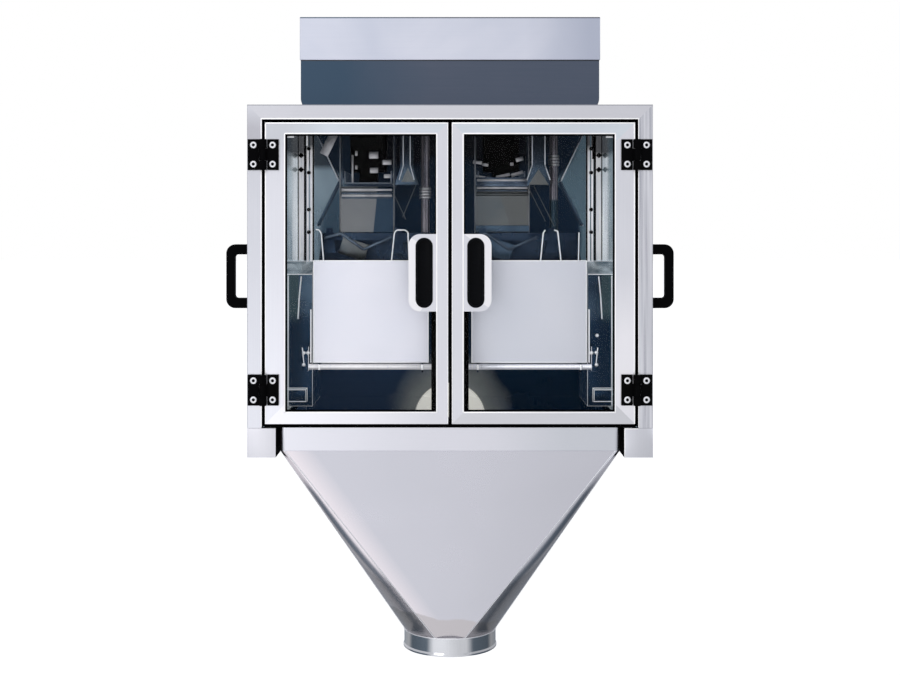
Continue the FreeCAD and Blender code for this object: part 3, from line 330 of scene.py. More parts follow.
# %% The shared toned area effect
toned, given, out = new_group(
    "toned area",
    [("Vector", "Vector", None), ("Centre", "Vector", (0, 0, 0)), ("Slant", "Vector", (1, 0, 0)),
     ("Round", "Float", 0.0), ("Size", "Float", 0.0), ("Soft", "Float", 0.002),
     ("Waver", "Float", 0.0), ("Base", "Color", (1, 1, 1, 1)), ("Tone", "Color", (1, 1, 1, 1))],
    [("Color", "Color")])
tree = toned
apart = vector_node(tree, "SUBTRACT", given["Vector"], given["Centre"])[0]
along = vector_node(tree, "DOT_PRODUCT", apart, given["Slant"])[1]
flat = vector_node(tree, "MULTIPLY", apart, (1, 0, 1))[0]
spot = math_node(tree, "SUBTRACT", given["Size"], vector_node(tree, "LENGTH", flat)[1])
chosen = math_node(tree, "ADD", math_node(tree, "MULTIPLY", spot, given["Round"]), math_node(
    tree, "MULTIPLY", along, math_node(tree, "SUBTRACT", 1.0, given["Round"])))
ripple = math_node(tree, "SUBTRACT", noise(tree, given["Vector"], 22.0, 2.0), 0.5)
wavy = math_node(tree, "ADD", chosen, math_node(tree, "MULTIPLY", ripple, given["Waver"]))
mask = math_node(tree, "ADD", math_node(tree, "DIVIDE", wavy, given["Soft"]), 0.5, clamp=True)
fill(tree, out, {"Color": blend(tree, mask, given["Base"], given["Tone"])})


def tone_area(material, centre, colour, slant=(1, 0), size=0, soft=2, waver=0):
    """Lays a second tone over a material, past a line or inside a spot, in millimetres."""
    tree = material.node_tree
    shader = tree.nodes["Principled BSDF"]
    laid = add_effect(tree, toned, {
        "Vector": add(tree, "TexCoord").outputs["Object"],
        "Centre": Vector((centre[0], 0, centre[1])) * mm, "Slant": (slant[0], 0, slant[1]),
        "Round": float(size > 0), "Size": size * mm, "Soft": soft * mm, "Waver": waver * mm,
        "Tone": tone(*colour), "Base": shader.inputs["Base Color"].links[0].from_socket})
    for label in ("Base Color", "Emission Color"):
        if shader.inputs[label].is_linked:
            tree.links.new(laid["Color"], shader.inputs[label])


print("effect", toned.name, "with", len(toned.nodes), "nodes")

# %% [markdown]
# ## Where the toned areas lie
# The rear wall has painted dark fields of shade beside its slanted wires, over the feeders and low
# down, and near its foot a painted reflection of the spout's light with a halo. Later areas cover
# earlier ones, as coats of paint do. The housings are painted grey beside the posts, painted dark
# low down as shade and painted bright along the liner as a reflection.

# %% Lay the toned areas
# Painted reflections: a dark field on the left gate plate and a wavy second field on the right one.
tone_area(gate_left, (-131, 395), (46, 62, 79), (1, -0.1))
tone_area(gate_right, (92, 420), (96, 98, 98), (1, 0.35), waver=20)

tone_area(back_steel, (-101, 353), (52, 68, 82), size=150, soft=12)
tone_area(back_steel, (-196, 0), (15, 28, 43), soft=20, waver=20)
tone_area(back_steel, (206, 430), (77, 95, 106), (1, 0.25), soft=10, waver=20)
tone_area(back_steel, (102, 353), (15, 28, 43), size=150, soft=8)
for x in (-103, 103):
    tone_area(back_steel, (x, 576), (16, 26, 38), size=150, soft=8)
for x, size in ((-92, 112), (96, 118)):
    tone_area(back_steel, (x, 604), (9, 11, 16), size=size, soft=20, waver=20)
tone_area(back_steel, (0, 118), (4, 20, 37), (0, -1), soft=20)
tone_area(back_steel, (-140, -292), (25, 40, 60), size=410, soft=20)
tone_area(back_steel, (0, 22), (102, 106, 106), size=94, soft=50, waver=30)
tone_area(back_steel, (0, 8), (240, 238, 229), size=68, soft=3)

for sign in SIDES.values():
    tone_area(navy_steel, (sign * 260, 0), (64, 80, 86), (sign, 0))
tone_area(navy_steel, (0, 218), (26, 42, 60), (0, -1), soft=20)
tone_area(navy_steel, (-277, 0), (150, 166, 172), (-1, 0))
tone_area(navy_steel, (277, 0), (140, 156, 162), (1, 0))
# Painted shade on the lower part of the right column, and on the satin plates right of the middle.
tone_area(column_steel, (182, 318), (42, 56, 66), size=105, soft=4)
tone_area(satin_steel, (30, 0), (217, 218, 226), soft=20)

# Painted light and shade on the outer sheets, besides the weld tint: a painted highlight down the
# left of the cone, a bluer painted reflection on the left of the hopper, painted shade on the right
# of the band, the skirt and the left door sill, a painted dark patch high on the frame's left
# stile, and on the doors painted shade at the top left and painted light at the bottom right.
tone_area(cone_steel, (-218, -25), (238, 232, 238), (-0.835, -0.55), soft=35)
tone_area(cone_steel, (0, -296), (202, 198, 202), (-0.12, -1), soft=4, waver=30)
tone_area(slate_steel, (-110, 0), (66, 84, 103), (-1, 0), soft=160, waver=50)
tone_area(band_steel, (185, 0), (184, 190, 208), soft=110)
tone_area(funnel_steel, (130, 0), (209, 212, 220), soft=120)
tone_area(sill_steels["left"], (-85, 0), (222, 223, 230), soft=100)
tone_area(frame_upright, (-320, 522), (189, 189, 197), size=30, soft=30)
for door_steel in (door_across, door_upright):
    tone_area(door_steel, (-285, 540), (204, 207, 214), size=50, soft=60)
    tone_area(door_steel, (300, 150), (245, 244, 250), size=100, soft=100)
print("toned areas", toned.users)

# %% [markdown]
# ## Plastic, enamel and rubber
# Moulded plastic and enamel are dark with a fine orange-peel skin, so that a lamp breaks up into a
# soft shine on them. Rubber has the same skin, but it is so rough that it stays nearly black.

# %% Make plastic, enamel and rubber
skin_effect, given, out = new_group(
    "fine skin",
    [("Vector", "Vector", None), ("Scale", "Float", 400.0), ("Tone", "Color", (0.1, 0.1, 0.1, 1)),
     ("Worn", "Color", (0.2, 0.2, 0.2, 1)), ("Roughness", "Float", 0.4)],
    [("Color", "Color"), ("Roughness", "Float"), ("Height", "Float")])
tree = skin_effect
wear = noise(tree, given["Vector"], 30.0, 4.0)
fill(tree, out, {
    "Color": blend(tree, wear, given["Tone"], given["Worn"]),
    "Roughness": math_node(tree, "ADD", given["Roughness"],
                           math_node(tree, "MULTIPLY", wear, 0.15)),
    "Height": noise(tree, given["Vector"], given["Scale"], 3.0)})


def skinned(name, fresh, worn, scale, rough, bump, metallic=0.0, shine=0.03):
    """A dark moulded or painted finish."""
    return surface(name, skin_effect, {
        "Scale": scale, "Tone": tone(*fresh), "Worn": tone(*worn), "Roughness": rough},
        bump, 0.5 * mm, {"Metallic": metallic, "Specular IOR Level": shine})


black_plastic = skinned("black moulded plastic", (3, 3, 4), (8, 8, 10), 900, rough=0.55, bump=0.2)
black_enamel = skinned("black enamel", (4, 5, 7), (12, 14, 20), 500, rough=0.2, bump=0.1,
                       shine=0.05)
# Black rubber for seals and gaskets, which also serves as black painted shade in the gaps round the
# doors, the frame, the rails and the windows.
black_rubber_and_shade = skinned("black rubber and painted shade", (3, 3, 4), (9, 9, 10), 700, rough=0.9, bump=0.3)
shaded_flange = skinned("shaded flange", (22, 38, 52), (14, 28, 40), 300, rough=0.9, bump=0.2,
                        shine=0.0)
# A painted dark reflection along the top lip of the hopper.
dark_lip_reflection = skinned("painted dark lip reflection", (58, 62, 70), (84, 88, 96), 300, rough=0.45, bump=0.2,
                    metallic=1.0)
print("dark finishes made")

# %% [markdown]
# ## Window glass
# The window glass is thin, clear and very slightly smeared. Light that falls through it is let
# past for shadows, because a thin pane hardly dims the cabin behind it.

# %% Make the glass
clear_glass = bpy.data.materials.new("clear window glass")
clear_glass.use_nodes = True
tree = clear_glass.node_tree
smear = noise(tree, add(tree, "TexCoord").outputs["Object"], 9.0, 3.0)
pane = fill(tree, tree.nodes["Principled BSDF"], {
    "Transmission Weight": 1.0, "IOR": 1.1,
    "Base Color": blend(tree, smear, (0.93, 0.95, 0.97, 1), (1, 1, 1, 1)),
    "Roughness": math_node(tree, "MULTIPLY", smear, 0.03)})
passing = add(tree, "BsdfTransparent", {0: (0.93, 0.95, 0.96, 1)})
either = add(tree, "MixShader", {0: add(tree, "LightPath").outputs["Is Shadow Ray"],
                                 1: pane.outputs[0], 2: passing.outputs[0]})
tree.links.new(either.outputs[0], tree.nodes["Material Output"].inputs["Surface"])
print("materials", len(bpy.data.materials))

# %% [markdown]
# ## Turning CAD parts into finished pieces
# A CAD part has perfectly sharp edges, and real sheet never does. The helpers below take a copy
# of a part, weld its triangles back into whole faces, round its edges by a fraction of a
# millimetre and shade curved faces smoothly. The rounded edges are what catch the light.

# %% Helpers for pieces
record = frame["record"]
home = {name: body for body, names in record["behaviour"]["bodies"].items() for name in names}
slot_of = {part["node"]: part["material_slot"] for part in record["subparts"]}


def solid_copy(*names):
    """The faces of CAD parts, welded and with flat areas joined into whole faces."""
    bm = bmesh.new()
    for name in names:
        bm.from_mesh(frame["nodes"][name].data)
    bmesh.ops.remove_doubles(bm, verts=bm.verts, dist=0.01 * mm)
    bmesh.ops.dissolve_limit(bm, angle_limit=math.radians(0.4), verts=bm.verts, edges=bm.edges)
    bmesh.ops.recalc_face_normals(bm, faces=bm.faces)
    for face in bm.faces:
        face.material_index = 0
    return bm


def round_edges(bm, edges, width, segments=2):
    """Rounds some edges and gives the new faces."""
    return bmesh.ops.bevel(bm, geom=edges, offset=width, offset_type="OFFSET", segments=segments,
                           profile=0.5, affect="EDGES", clamp_overlap=True, material=-1)["faces"]


def soften(bm, width, segments, edge_finish, below):
    """Rounds the sharp edges of a piece, and gives the rounded edges a finish of their own."""
    edges = [e for e in bm.edges if len(e.link_faces) == 2 and e.verts[0].co.z < below
             and e.calc_face_angle(0) > math.radians(30)]
    for face in round_edges(bm, edges, width, segments):
        if edge_finish is not None:
            face.material_index = edge_finish


def shade(bm, turn=40, area=0.003):
    """Smooth shading over bends and small faces, with hard edges kept hard."""
    for face in bm.faces:
        face.smooth = face.calc_area() < area
    for edge in bm.edges:
        if len(edge.link_faces) == 2:
            edge.smooth = edge.calc_face_angle(0) < math.radians(turn)


def place_piece(name, bm, body, slot, *materials):
    """Makes an object of a mesh and lets it move with one of the machine's bodies."""
    mesh = bpy.data.meshes.new(name)
    bm.to_mesh(mesh)
    bm.free()
    for material in materials:
        mesh.materials.append(material)
    made = bpy.data.objects.new(name, mesh)
    scene.collection.objects.link(made)
    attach(made, body)
    return made


def where(test, finish=1):
    """A rule for dress: faces whose centre and direction pass a test get another finish."""
    return lambda face: finish if test(face.calc_center_median(), face.normal) else 0


def dress(name, *materials, width=0.8, segments=2, rule=None, cuts=(), edge_finish=None,
          turn=40, below=1000):
    """Swaps a CAD part for a copy whose edges, below a height, are rounded by a width in
    millimetres. The rule picks a finish for each face, and the cuts divide faces for it."""
    bm = solid_copy(name)
    for point, normal in cuts:
        geometry = list(bm.verts) + list(bm.edges) + list(bm.faces)
        bmesh.ops.bisect_plane(bm, geom=geometry, plane_co=point, plane_no=normal)
    if rule:
        for face in bm.faces:
            face.material_index = rule(face)
    if width:
        soften(bm, width * mm, segments, edge_finish, below * mm)
    shade(bm, turn)
    piece = place_piece(name + "_sheet", bm, home[name], slot_of[name], *materials)
    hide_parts(name)


# %% [markdown]
# ## A first finish for every part
# Each CAD part gets the steel, plastic or glass it is made of. Parts that stay out of sight keep
# only this finish. The larger and nearer parts are swapped for finer pieces further down.

# %% Give every CAD part its finish
by_slot = {
    "bright_steel": bright_upright, "funnel_steel": funnel_steel, "slate_steel": slate_steel,
    "polished_steel": polished_steel, "mirror_steel": mirror_steel, "inner_steel": inner_steel,
    "satin_steel": satin_steel, "gate_steel": gate_left, "clear_glass": clear_glass,
    "black_plastic": black_plastic, "black_paint": black_enamel,
}
for name, part in frame["nodes"].items():
    part.data.materials.clear()
    part.data.materials.append(by_slot[slot_of[name]])
print("dressed", len(slot_of), "parts")

# %% [markdown]
# ## The room as metal sees it
# What the metal mirrors matters more than the lamps. It sees a bright room in front, dark flags
# at the sides that draw the dark bands on curved sheet, and a little more light from the left
# than from the right. One effect gives this light for any direction, as a ramp round the machine.

# %% The shared room effect
def smooth_step(tree, value, start, end, low=0.0, high=1.0):
    """A soft change from one level to another while a value goes from its start to its end."""
    return add(tree, "MapRange", {0: value, 1: start, 2: end, 3: low, 4: high},
               interpolation_type="SMOOTHSTEP").outputs[0]


room_shade, given, out = new_group("room shade", [("Vector", "Vector", None)],
                                   [("Color", "Color"), ("Level", "Float")])
tree = room_shade
toward = add(tree, "SeparateXYZ", {0: given["Vector"]}).outputs
turn = math_node(tree, "ARCTAN2", math_node(tree, "ABSOLUTE", toward[0]),
                 math_node(tree, "MULTIPLY", toward[1], -1.0))
ramp = add(tree, "ValToRGB", {0: math_node(tree, "DIVIDE", turn, math.pi)})
wall_tint, flag_tint = (1, 1, 1.01), (0.8, 1, 1.2)
stops = [(0.0, 0.93, wall_tint), (0.19, 0.90, wall_tint), (0.27, 0.16, flag_tint),
         (0.53, 0.12, flag_tint), (0.62, 0.42, wall_tint), (1.0, 0.24, flag_tint)]
while len(ramp.color_ramp.elements) < len(stops):
    ramp.color_ramp.elements.new(0.5)
for element, (place, level, tint) in zip(ramp.color_ramp.elements, stops):
    element.position = place
    element.color = [level * share for share in tint] + [1]
depth = math_node(tree, "ADD", math_node(tree, "ABSOLUTE", toward[1]), 0.3)
lean = smooth_step(tree, math_node(tree, "DIVIDE", toward[0], depth), -0.35, 0.35, 1.12, 0.86)
fill(tree, out, {"Color": ramp.outputs[0], "Level": lean})
print("effect", room_shade.name, "with", len(ramp.color_ramp.elements), "stops")

# %% [markdown]
# ## The white room
# The photograph is a cut-out on white, so the camera sees plain white behind the machine. Mirrors
# and panes see the room effect instead, with a bright ceiling, and everything else gets soft light.

# %% Build the room
def lighter(tree, factor, colour):
    """The room's colour, never darker than a pale wall where the factor is one."""
    return add(tree, "Mix", {0: factor, 6: colour, 7: (0.64, 0.64, 0.66, 1)}, data_type="RGBA",
               blend_type="LIGHTEN").outputs[2]


def for_mirrors(tree, plain, mirrored):
    """Shows one shader to mirrors and panes, and another to everything else."""
    rays = add(tree, "LightPath").outputs
    bounced = math_node(tree, "MAXIMUM", rays["Is Glossy Ray"], rays["Is Transmission Ray"])
    return add(tree, "MixShader", {0: bounced, 1: plain.outputs[0], 2: mirrored.outputs[0]})


world = bpy.data.worlds.new("white room")
world.use_nodes = True
scene.world = world
tree = world.node_tree
tree.nodes.clear()
direction = add(tree, "TexCoord").outputs["Generated"]
sides = add_effect(tree, room_shade, {"Vector": direction})
overhead = smooth_step(tree, add(tree, "SeparateXYZ", {0: direction}).outputs[2], 0.45, 0.8)
ceiling = (0.9, 0.9, 0.92, 1)
mirrored = add(tree, "Background", {
    0: blend(tree, overhead, lighter(tree, 1.0, sides["Color"]), ceiling), 1: sides["Level"]})
seen = add(tree, "Background", {0: (1, 1, 1, 1), 1: 1.0})
soft = add(tree, "Background", {0: (0.97, 0.98, 1, 1), 1: 0.62})
everything = add(tree, "MixShader", {0: add(tree, "LightPath").outputs["Is Camera Ray"],
                                     1: for_mirrors(tree, soft, mirrored).outputs[0],
                                     2: seen.outputs[0]})
tree.links.new(everything.outputs[0], add(tree, "OutputWorld").inputs[0])
print("room built with", len(tree.nodes), "nodes")

# %% [markdown]
# ## The floor
# The floor lies well below the spout, because the machine stands on a platform of its own height
# in use. It fades into the white room, and from about three metres on it mirrors as a pale wall.

# %% Lay the floor
floor_height = -0.9
bm = bmesh.new()
bmesh.ops.create_grid(bm, x_segments=8, y_segments=8, size=40,
                      matrix=Matrix.Translation((0, 30, floor_height)))
floor_mesh = bpy.data.meshes.new("floor")
bm.to_mesh(floor_mesh)
bm.free()
floor = bpy.data.objects.new("floor", floor_mesh)
scene.collection.objects.link(floor)
floor_material = bpy.data.materials.new("pale floor")
floor_material.use_nodes = True
tree = floor_material.node_tree
place = add(tree, "TexCoord").outputs["Object"]
mottle = noise(tree, place, 0.7, 3.0)
seen = add(tree, "LightPath").outputs["Is Camera Ray"]
shader = fill(tree, tree.nodes["Principled BSDF"], {
    "Base Color": blend(tree, mottle, (0.88, 0.88, 0.9, 1), (0.92, 0.92, 0.93, 1)),
    "Roughness": 0.9, "Emission Color": (1, 1, 1, 1),
    "Emission Strength": math_node(tree, "MULTIPLY", seen, 0.5)})
from_machine = vector_node(tree, "SUBTRACT", place, (0, 0.45, 0))[0]
away = vector_node(tree, "LENGTH", from_machine)[1]
sides = add_effect(tree, room_shade, {"Vector": from_machine})
mirrored = add(tree, "Emission", {
    0: lighter(tree, smooth_step(tree, away, 3.0, 4.5), sides["Color"]), 1: sides["Level"]})
tree.links.new(for_mirrors(tree, shader, mirrored).outputs[0],
               tree.nodes["Material Output"].inputs["Surface"])
floor_mesh.materials.append(floor_material)
print("floor at", floor_height)

# %% [markdown]
# ## Lamps
# Three square soft lamps stand in front: the main one high on the left, a weaker one on the right
# and a faint one low down, which lights the foot of the funnel.

# %% Hang the lamps
def lamp(name, place, aim, width, power, colour=(1, 1, 1)):
    """A square soft light that points at a place."""
    data = bpy.data.lights.new(name, "AREA")
    data.shape, data.size, data.energy, data.color = "SQUARE", width, power, colour
    made = bpy.data.objects.new(name, data)
    made.location = place
    made.rotation_euler = (Vector(aim) - Vector(place)).to_track_quat("-Z", "Y").to_euler()
    scene.collection.objects.link(made)


lamp("key_light", (-2.0, -3.4, 2.2), (0, 0, 0.2), 1.6, 16, (1.0, 0.99, 0.97))
lamp("fill_light", (2.6, -2.8, 1.0), (0, 0, 0.2), 1.6, 6, (0.95, 0.97, 1.0))
lamp("low_light", (-1.1, -3.2, -0.5), (-0.1, 0, 0.0), 1.2, 3)
print("lamps", len(bpy.data.lights))

# %% [markdown]
# ## The front frame
# The front frame is folded from thick bright sheet with ground edges, which catch a thin white
# line of light. Its corners are mitred, so the brushing turns there. The walls of the opening are
# painted black as shade in the gap, so the gap around each door reads as a black line. The top lip
# is painted darker as a reflection, and the right stile has painted upright streaks of light and
# shade.

# %% Finish the front frame
lip_height = 1.4 * mm


def frame_rule(low, high):
    """Rails are brushed across and stiles upright; the walls of the opening are painted black as
    shade in the gap, the top lip is a darker painted reflection and the right stile is streaked.
    """
    def rule(face):
        centre, normal = face.calc_center_median(), face.normal
        if abs(normal.y) < 0.5:
            inside = (low.x + 2 * mm < centre.x < high.x - 2 * mm
                      and low.z + 2 * mm < centre.z < high.z - 2 * mm)
            return 2 if inside else 1
        if centre.z > high.z - lip_height:
            return 4
        stile = min(centre.x - low.x, high.x - centre.x)
        if stile < min(high.z - centre.z, 30 * mm):
            return 3 if centre.x > 0 else 1
        return 0
    return rule


def mitres(low, high):
    """Planes that cut the four corners of a frame at forty-five degrees."""
    return [((low.x, 0, low.z), (1, 0, -1)), ((high.x, 0, low.z), (1, 0, 1)),
            ((low.x, 0, high.z), (1, 0, 1)), ((high.x, 0, high.z), (1, 0, -1))]


low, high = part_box("front_frame")
top_mitres = mitres(low, high)[2:] + [((0, 0, high.z - lip_height), (0, 0, 1))]
dress("front_frame", bright_across, frame_upright, black_rubber_and_shade, fluted_steel, lip_steel,
      width=0.9, rule=frame_rule(low, high), cuts=top_mitres)
print("front frame", [round(v, 3) for v in high - low])

# %% [markdown]
# ## Rails, walls and roof
# The rails, the sides, the roof and the back are bright outside. Their inner faces lie in the
# cabin's shade, so each sheet has a second finish of painted shade on the side that looks inwards,
# black on the rails. The left rail is a lighter copy in painted light.

# %% Finish the rails, walls and roof
def inner_wall(axis, sign):
    """Picks the faces that look into the cabin."""
    return where(lambda centre, normal: normal[axis] * sign > 0.5)


for side, sign in SIDES.items():
    rail_steel = lit_base_steel if side == "left" else bright_upright
    dress("base_rail_" + side, rail_steel, black_rubber_and_shade, width=0.9, rule=inner_wall(0, -sign))
    dress("side_panel_" + side, bright_upright, navy_steel, width=0.9, rule=inner_wall(0, -sign))
    dress("side_handle_" + side, black_plastic, width=1.4, segments=3)
dress("roof_panel", bright_across, navy_steel, rule=inner_wall(2, -1))
dress("back_panel", bright_upright, back_steel, width=0, rule=inner_wall(1, -1))

# %% [markdown]
# ## Hopper, skirt and spout
# The hopper's sheets end in a turned lip two millimetres high, which mirrors something else than
# the wall below it, so the lip is painted darker as a reflection. The skirt is bright outside and
# in painted shade inside, and the spout's collar is turned and polished.

# %% Finish the hopper, skirt and spout
def above(level):
    """Picks the faces above a level, for the turned lip of a sheet."""
    return where(lambda centre, normal: centre.z > level)


def skirt_rule(face):
    """The skirt is bright outside, and its inner walls and flange lie in the cabin's shade."""
    centre, normal = face.calc_center_median(), face.normal
    inwards = normal.x * centre.x + normal.y * centre.y < -0.01
    return 2 if normal.z > 0.5 else 1 if inwards else 0


hopper_lip, rim_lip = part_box("feed_hopper")[1].z - 2 * mm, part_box("hopper_rim")[1].z - 2 * mm
dress("feed_hopper", slate_steel, dark_lip_reflection, width=0.6, rule=above(hopper_lip),
      cuts=[((0, 0, hopper_lip), (0, 0, 1))])
dress("hopper_rim", band_steel, slate_steel, width=0.9, rule=above(rim_lip),
      cuts=[((0, 0, rim_lip), (0, 0, 1))])
dress("funnel_skirt", funnel_steel, back_steel, shaded_flange, rule=skirt_rule, below=45)
dress("spout_collar", polished_steel, width=0.5, turn=20)
print("lips at", round(hopper_lip, 3), "and", round(rim_lip, 3))

# %% [markdown]
# ## The funnel
# The funnel leads from a rectangle to a round spout. In the workshop it is four flat triangles
# and four rolled corner pieces, welded along eight seams and ground flush. Here two closed loops
# of points are joined by straight lines, as a press brake would bend them. One loop is the
# rectangle with small corners, and the other is the spout's circle with four short flats.

# %% Make the funnel
low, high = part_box("funnel_corner_panels")
corner_steps, corner_radius = 16, 8 * mm
spout_radius, flat_half = 81 * mm, 26 * mm
flat_angle = math.asin(flat_half / spout_radius)


def rim_points(top):
    """Places round one rim of the funnel, a corner at a time."""
    for quarter in range(4):
        middle = math.radians(45 + 90 * quarter)
        for step in range(corner_steps + 1):
            share = step / corner_steps - 0.5
            if top:
                angle = middle + share * math.radians(90)
                centre = Vector((math.copysign(high.x - corner_radius, math.cos(middle)),
                                 math.copysign(high.y - corner_radius, math.sin(middle)), high.z))
                yield centre + corner_radius * Vector((math.cos(angle), math.sin(angle), 0))
            else:
                angle = middle + share * (math.radians(90) - 2 * flat_angle)
                yield Vector((spout_radius * math.cos(angle), spout_radius * math.sin(angle),
                              low.z))


bm = bmesh.new()
rims = []
for top in (True, False):
    points = list(rim_points(top))
    loop = bmesh.ops.create_circle(bm, segments=len(points), radius=1.0)["verts"]
    for vertex, point in zip(loop, points):
        vertex.co = point
    rims += list({e for v in loop for e in v.link_edges})
bmesh.ops.bridge_loops(bm, edges=rims)
bmesh.ops.recalc_face_normals(bm, faces=bm.faces)
outer = list(bm.faces)
wide = [f for f in outer if max((e.verts[0].co - e.verts[1].co).xy.length for e in f.edges
                                if abs(e.verts[0].co.z - e.verts[1].co.z) < mm) > 40 * mm]
creases = {e for f in wide for e in f.edges if any(g not in wide for g in e.link_faces)}
for face in outer:
    face.smooth = face not in wide
for edge in creases:
    edge.smooth = False
bmesh.ops.solidify(bm, geom=outer, thickness=2 * mm)
cone = place_piece("funnel_cone", bm, "cabinet", "funnel_steel", cone_steel)
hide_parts("funnel_corner_panels", "funnel_flat_panels")

tops, feet = list(rim_points(True)), list(rim_points(False))
seams = [quarter * (corner_steps + 1) + end for quarter in range(4) for end in (0, corner_steps)]
print("funnel faces", len(cone.data.polygons), "seams", len(seams))

# %% [markdown]
# ## Bars, rods and turned parts
# Seals, trims and small brackets are flat bars with rounded edges, bent wires are rows of round
# rods, and screws and columns are turned on a lathe. Each helper adds one of them to a mesh, so
# a group of small pieces is a short list of places, in millimetres as on a workshop drawing.

# %% Helpers for bars, rods and turned parts
def join(bm, part, matrix, finish):
    """Turns a small piece into place and adds it to a group."""
    bmesh.ops.transform(part, matrix=matrix, verts=part.verts)
    bmesh.ops.recalc_face_normals(part, faces=part.faces)
    for face in part.faces:
        face.material_index = finish
    mesh = bpy.data.meshes.new("joined")
    part.to_mesh(mesh)
    part.free()
    bm.from_mesh(mesh)
    bpy.data.meshes.remove(mesh)


def bar(bm, first, second, edge=0.4, turn=0, finish=0):
    """A flat bar with rounded edges between two corners, turned about the depth axis."""
    corners = [[pick(pair) * mm for pair in zip(first, second)] for pick in (min, max)]
    low, high = Vector(corners[0]), Vector(corners[1])
    part = bmesh.new()
    bmesh.ops.create_cube(part, size=1.0)
    bmesh.ops.scale(part, vec=high - low, verts=part.verts)
    round_edges(part, list(part.edges), min(edge * mm, min(high - low) * 0.4))
    join(bm, part, Matrix.Translation((low + high) / 2)
         @ Matrix.Rotation(math.radians(turn), 4, "Y"), finish)


def ring_of_bars(bm, first, second, reach, front, rear):
    """Four bars round an opening. They reach inwards from its edge."""
    x0, x1 = sorted((first[0], second[0]))
    z0, z1 = first[1], second[1]
    for low, high in (((x0, z0), (x0 + reach, z1)), ((x1 - reach, z0), (x1, z1)),
                      ((x0, z0), (x1, z0 + reach)), ((x0, z1 - reach), (x1, z1))):
        bar(bm, (low[0], front, low[1]), (high[0], rear, high[1]))


def rod(bm, start, end, radius, finish=0, sides=10):
    """A round rod between two points, with rounded ends."""
    start, end, radius = Vector(start) * mm, Vector(end) * mm, radius * mm
    part = bmesh.new()
    bmesh.ops.create_cone(part, cap_ends=True, segments=sides, radius1=radius, radius2=radius,
                          depth=(end - start).length)
    rims = [e for e in part.edges if abs(e.verts[0].co.z - e.verts[1].co.z) < 0.01 * mm]
    round_edges(part, rims, radius * 0.3)
    turned = (end - start).to_track_quat("Z", "Y").to_matrix().to_4x4()
    join(bm, part, Matrix.Translation((start + end) / 2) @ turned, finish)


def path(bm, radius, depth, *places, finish=0):
    """A bent rod at one depth, through a row of places across and up."""
    points = [(x, depth, z) for x, z in places]
    for start, end in zip(points, points[1:]):
        rod(bm, start, end, radius, finish)


def turned_part(bm, centre, profile, axis, steps, finish=0):
    """A piece turned on a lathe: pairs of distance from the axis and place along it."""
    part = bmesh.new()
    points = [part.verts.new((Vector((r, 0, 0)) + Vector(axis) * t) * mm) for r, t in profile]
    lines = [part.edges.new(pair) for pair in zip(points, points[1:])]
    bmesh.ops.spin(part, geom=points + lines, cent=(0, 0, 0), axis=axis,
                   angle=math.radians(360), steps=steps, use_merge=True)
    join(bm, part, Matrix.Translation(Vector(centre) * mm), finish)


def put(name, bm, body, slot, *materials, turn=50):
    """Shades a finished group of small pieces and places it."""
    shade(bm, turn, 0.01)
    return place_piece(name, bm, body, slot, *materials)


print("helpers ready")

# %% [markdown]
# ## Weld seams on the funnel
# The seams are ground nearly flush and polished, so each one is a hair-thin bright line beside the
# dark rolled corner. A bead of weld also runs round the top of the spout.

# %% Lay the weld seams
bm = bmesh.new()
lift = Vector((0, 0, 0.4))
for place in seams:
    rod(bm, tops[place] / mm + lift, feet[place] / mm + lift, 0.9, sides=8)
put("funnel_seams", bm, "cabinet", "funnel_steel", edge_steel)
bm = bmesh.new()
bead = bmesh.ops.create_circle(bm, segments=10, radius=1.1 * mm, matrix=Matrix.Translation(
    (81.2 * mm, 0, -334.2 * mm)) @ Matrix.Rotation(math.radians(90), 4, "X"))["verts"]
bmesh.ops.spin(bm, geom=bead + list(bm.edges), cent=(0, 0, 0), axis=(0, 0, 1),
               angle=math.radians(360), steps=72, use_merge=True)
bmesh.ops.recalc_face_normals(bm, faces=bm.faces)
put("spout_bead", bm, "cabinet", "polished_steel", edge_steel)
print("seams laid")

# %% [markdown]
# ## Doors
# Each door is a mitred frame around a pane. The oval pull is a dark moulded cup on a bright plate,
# and the bottom rail has a tone of its own, a painted reflection of the foot of the frame, with
# painted light on the left door and painted shade on the right. The outer edges of each door are
# painted black as shade in the gap, and its rounded edges are brighter as a painted highlight.

# %% Finish the doors
pull_low, pull_high = Vector((22, 0, 237)) * mm, Vector((68, 0, 364)) * mm


def door_rule(low, high):
    """As on the front frame, but the black painted shade of the gap sits on the outer edges of the
    door.
    """
    def rule(face):
        centre, normal = face.calc_center_median(), face.normal
        if abs(normal.y) < 0.5:
            edge = min(centre.x - low.x, high.x - centre.x, centre.z - low.z, high.z - centre.z)
            return 2 if edge < 0.5 * mm else 1
        if (centre.y < low.y + 0.1 * mm and pull_low.x < abs(centre.x) < pull_high.x
                and pull_low.z < centre.z < pull_high.z):
            return 4
        if centre.z < low.z + 19 * mm:
            return 5
        across = min(centre.x - low.x, high.x - centre.x)
        upright = min(centre.z - low.z, high.z - centre.z)
        return 0 if upright < across else 1
    return rule


for side in SIDES:
    name = "door_frame_" + side
    low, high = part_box(name)
    dress(name, door_across, door_upright, black_rubber_and_shade, edge_steel, plate_steel,
          sill_steels[side], width=1.1, rule=door_rule(low, high), cuts=mitres(low, high),
          edge_finish=3)
    dress("pull_cup_" + side, black_enamel, width=0.5)
    dress("hinge_door_leaves_" + side, black_plastic, width=1.1, segments=3)
dress("hinge_frame_leaves", black_plastic, width=1.1, segments=3)
print("doors finished")

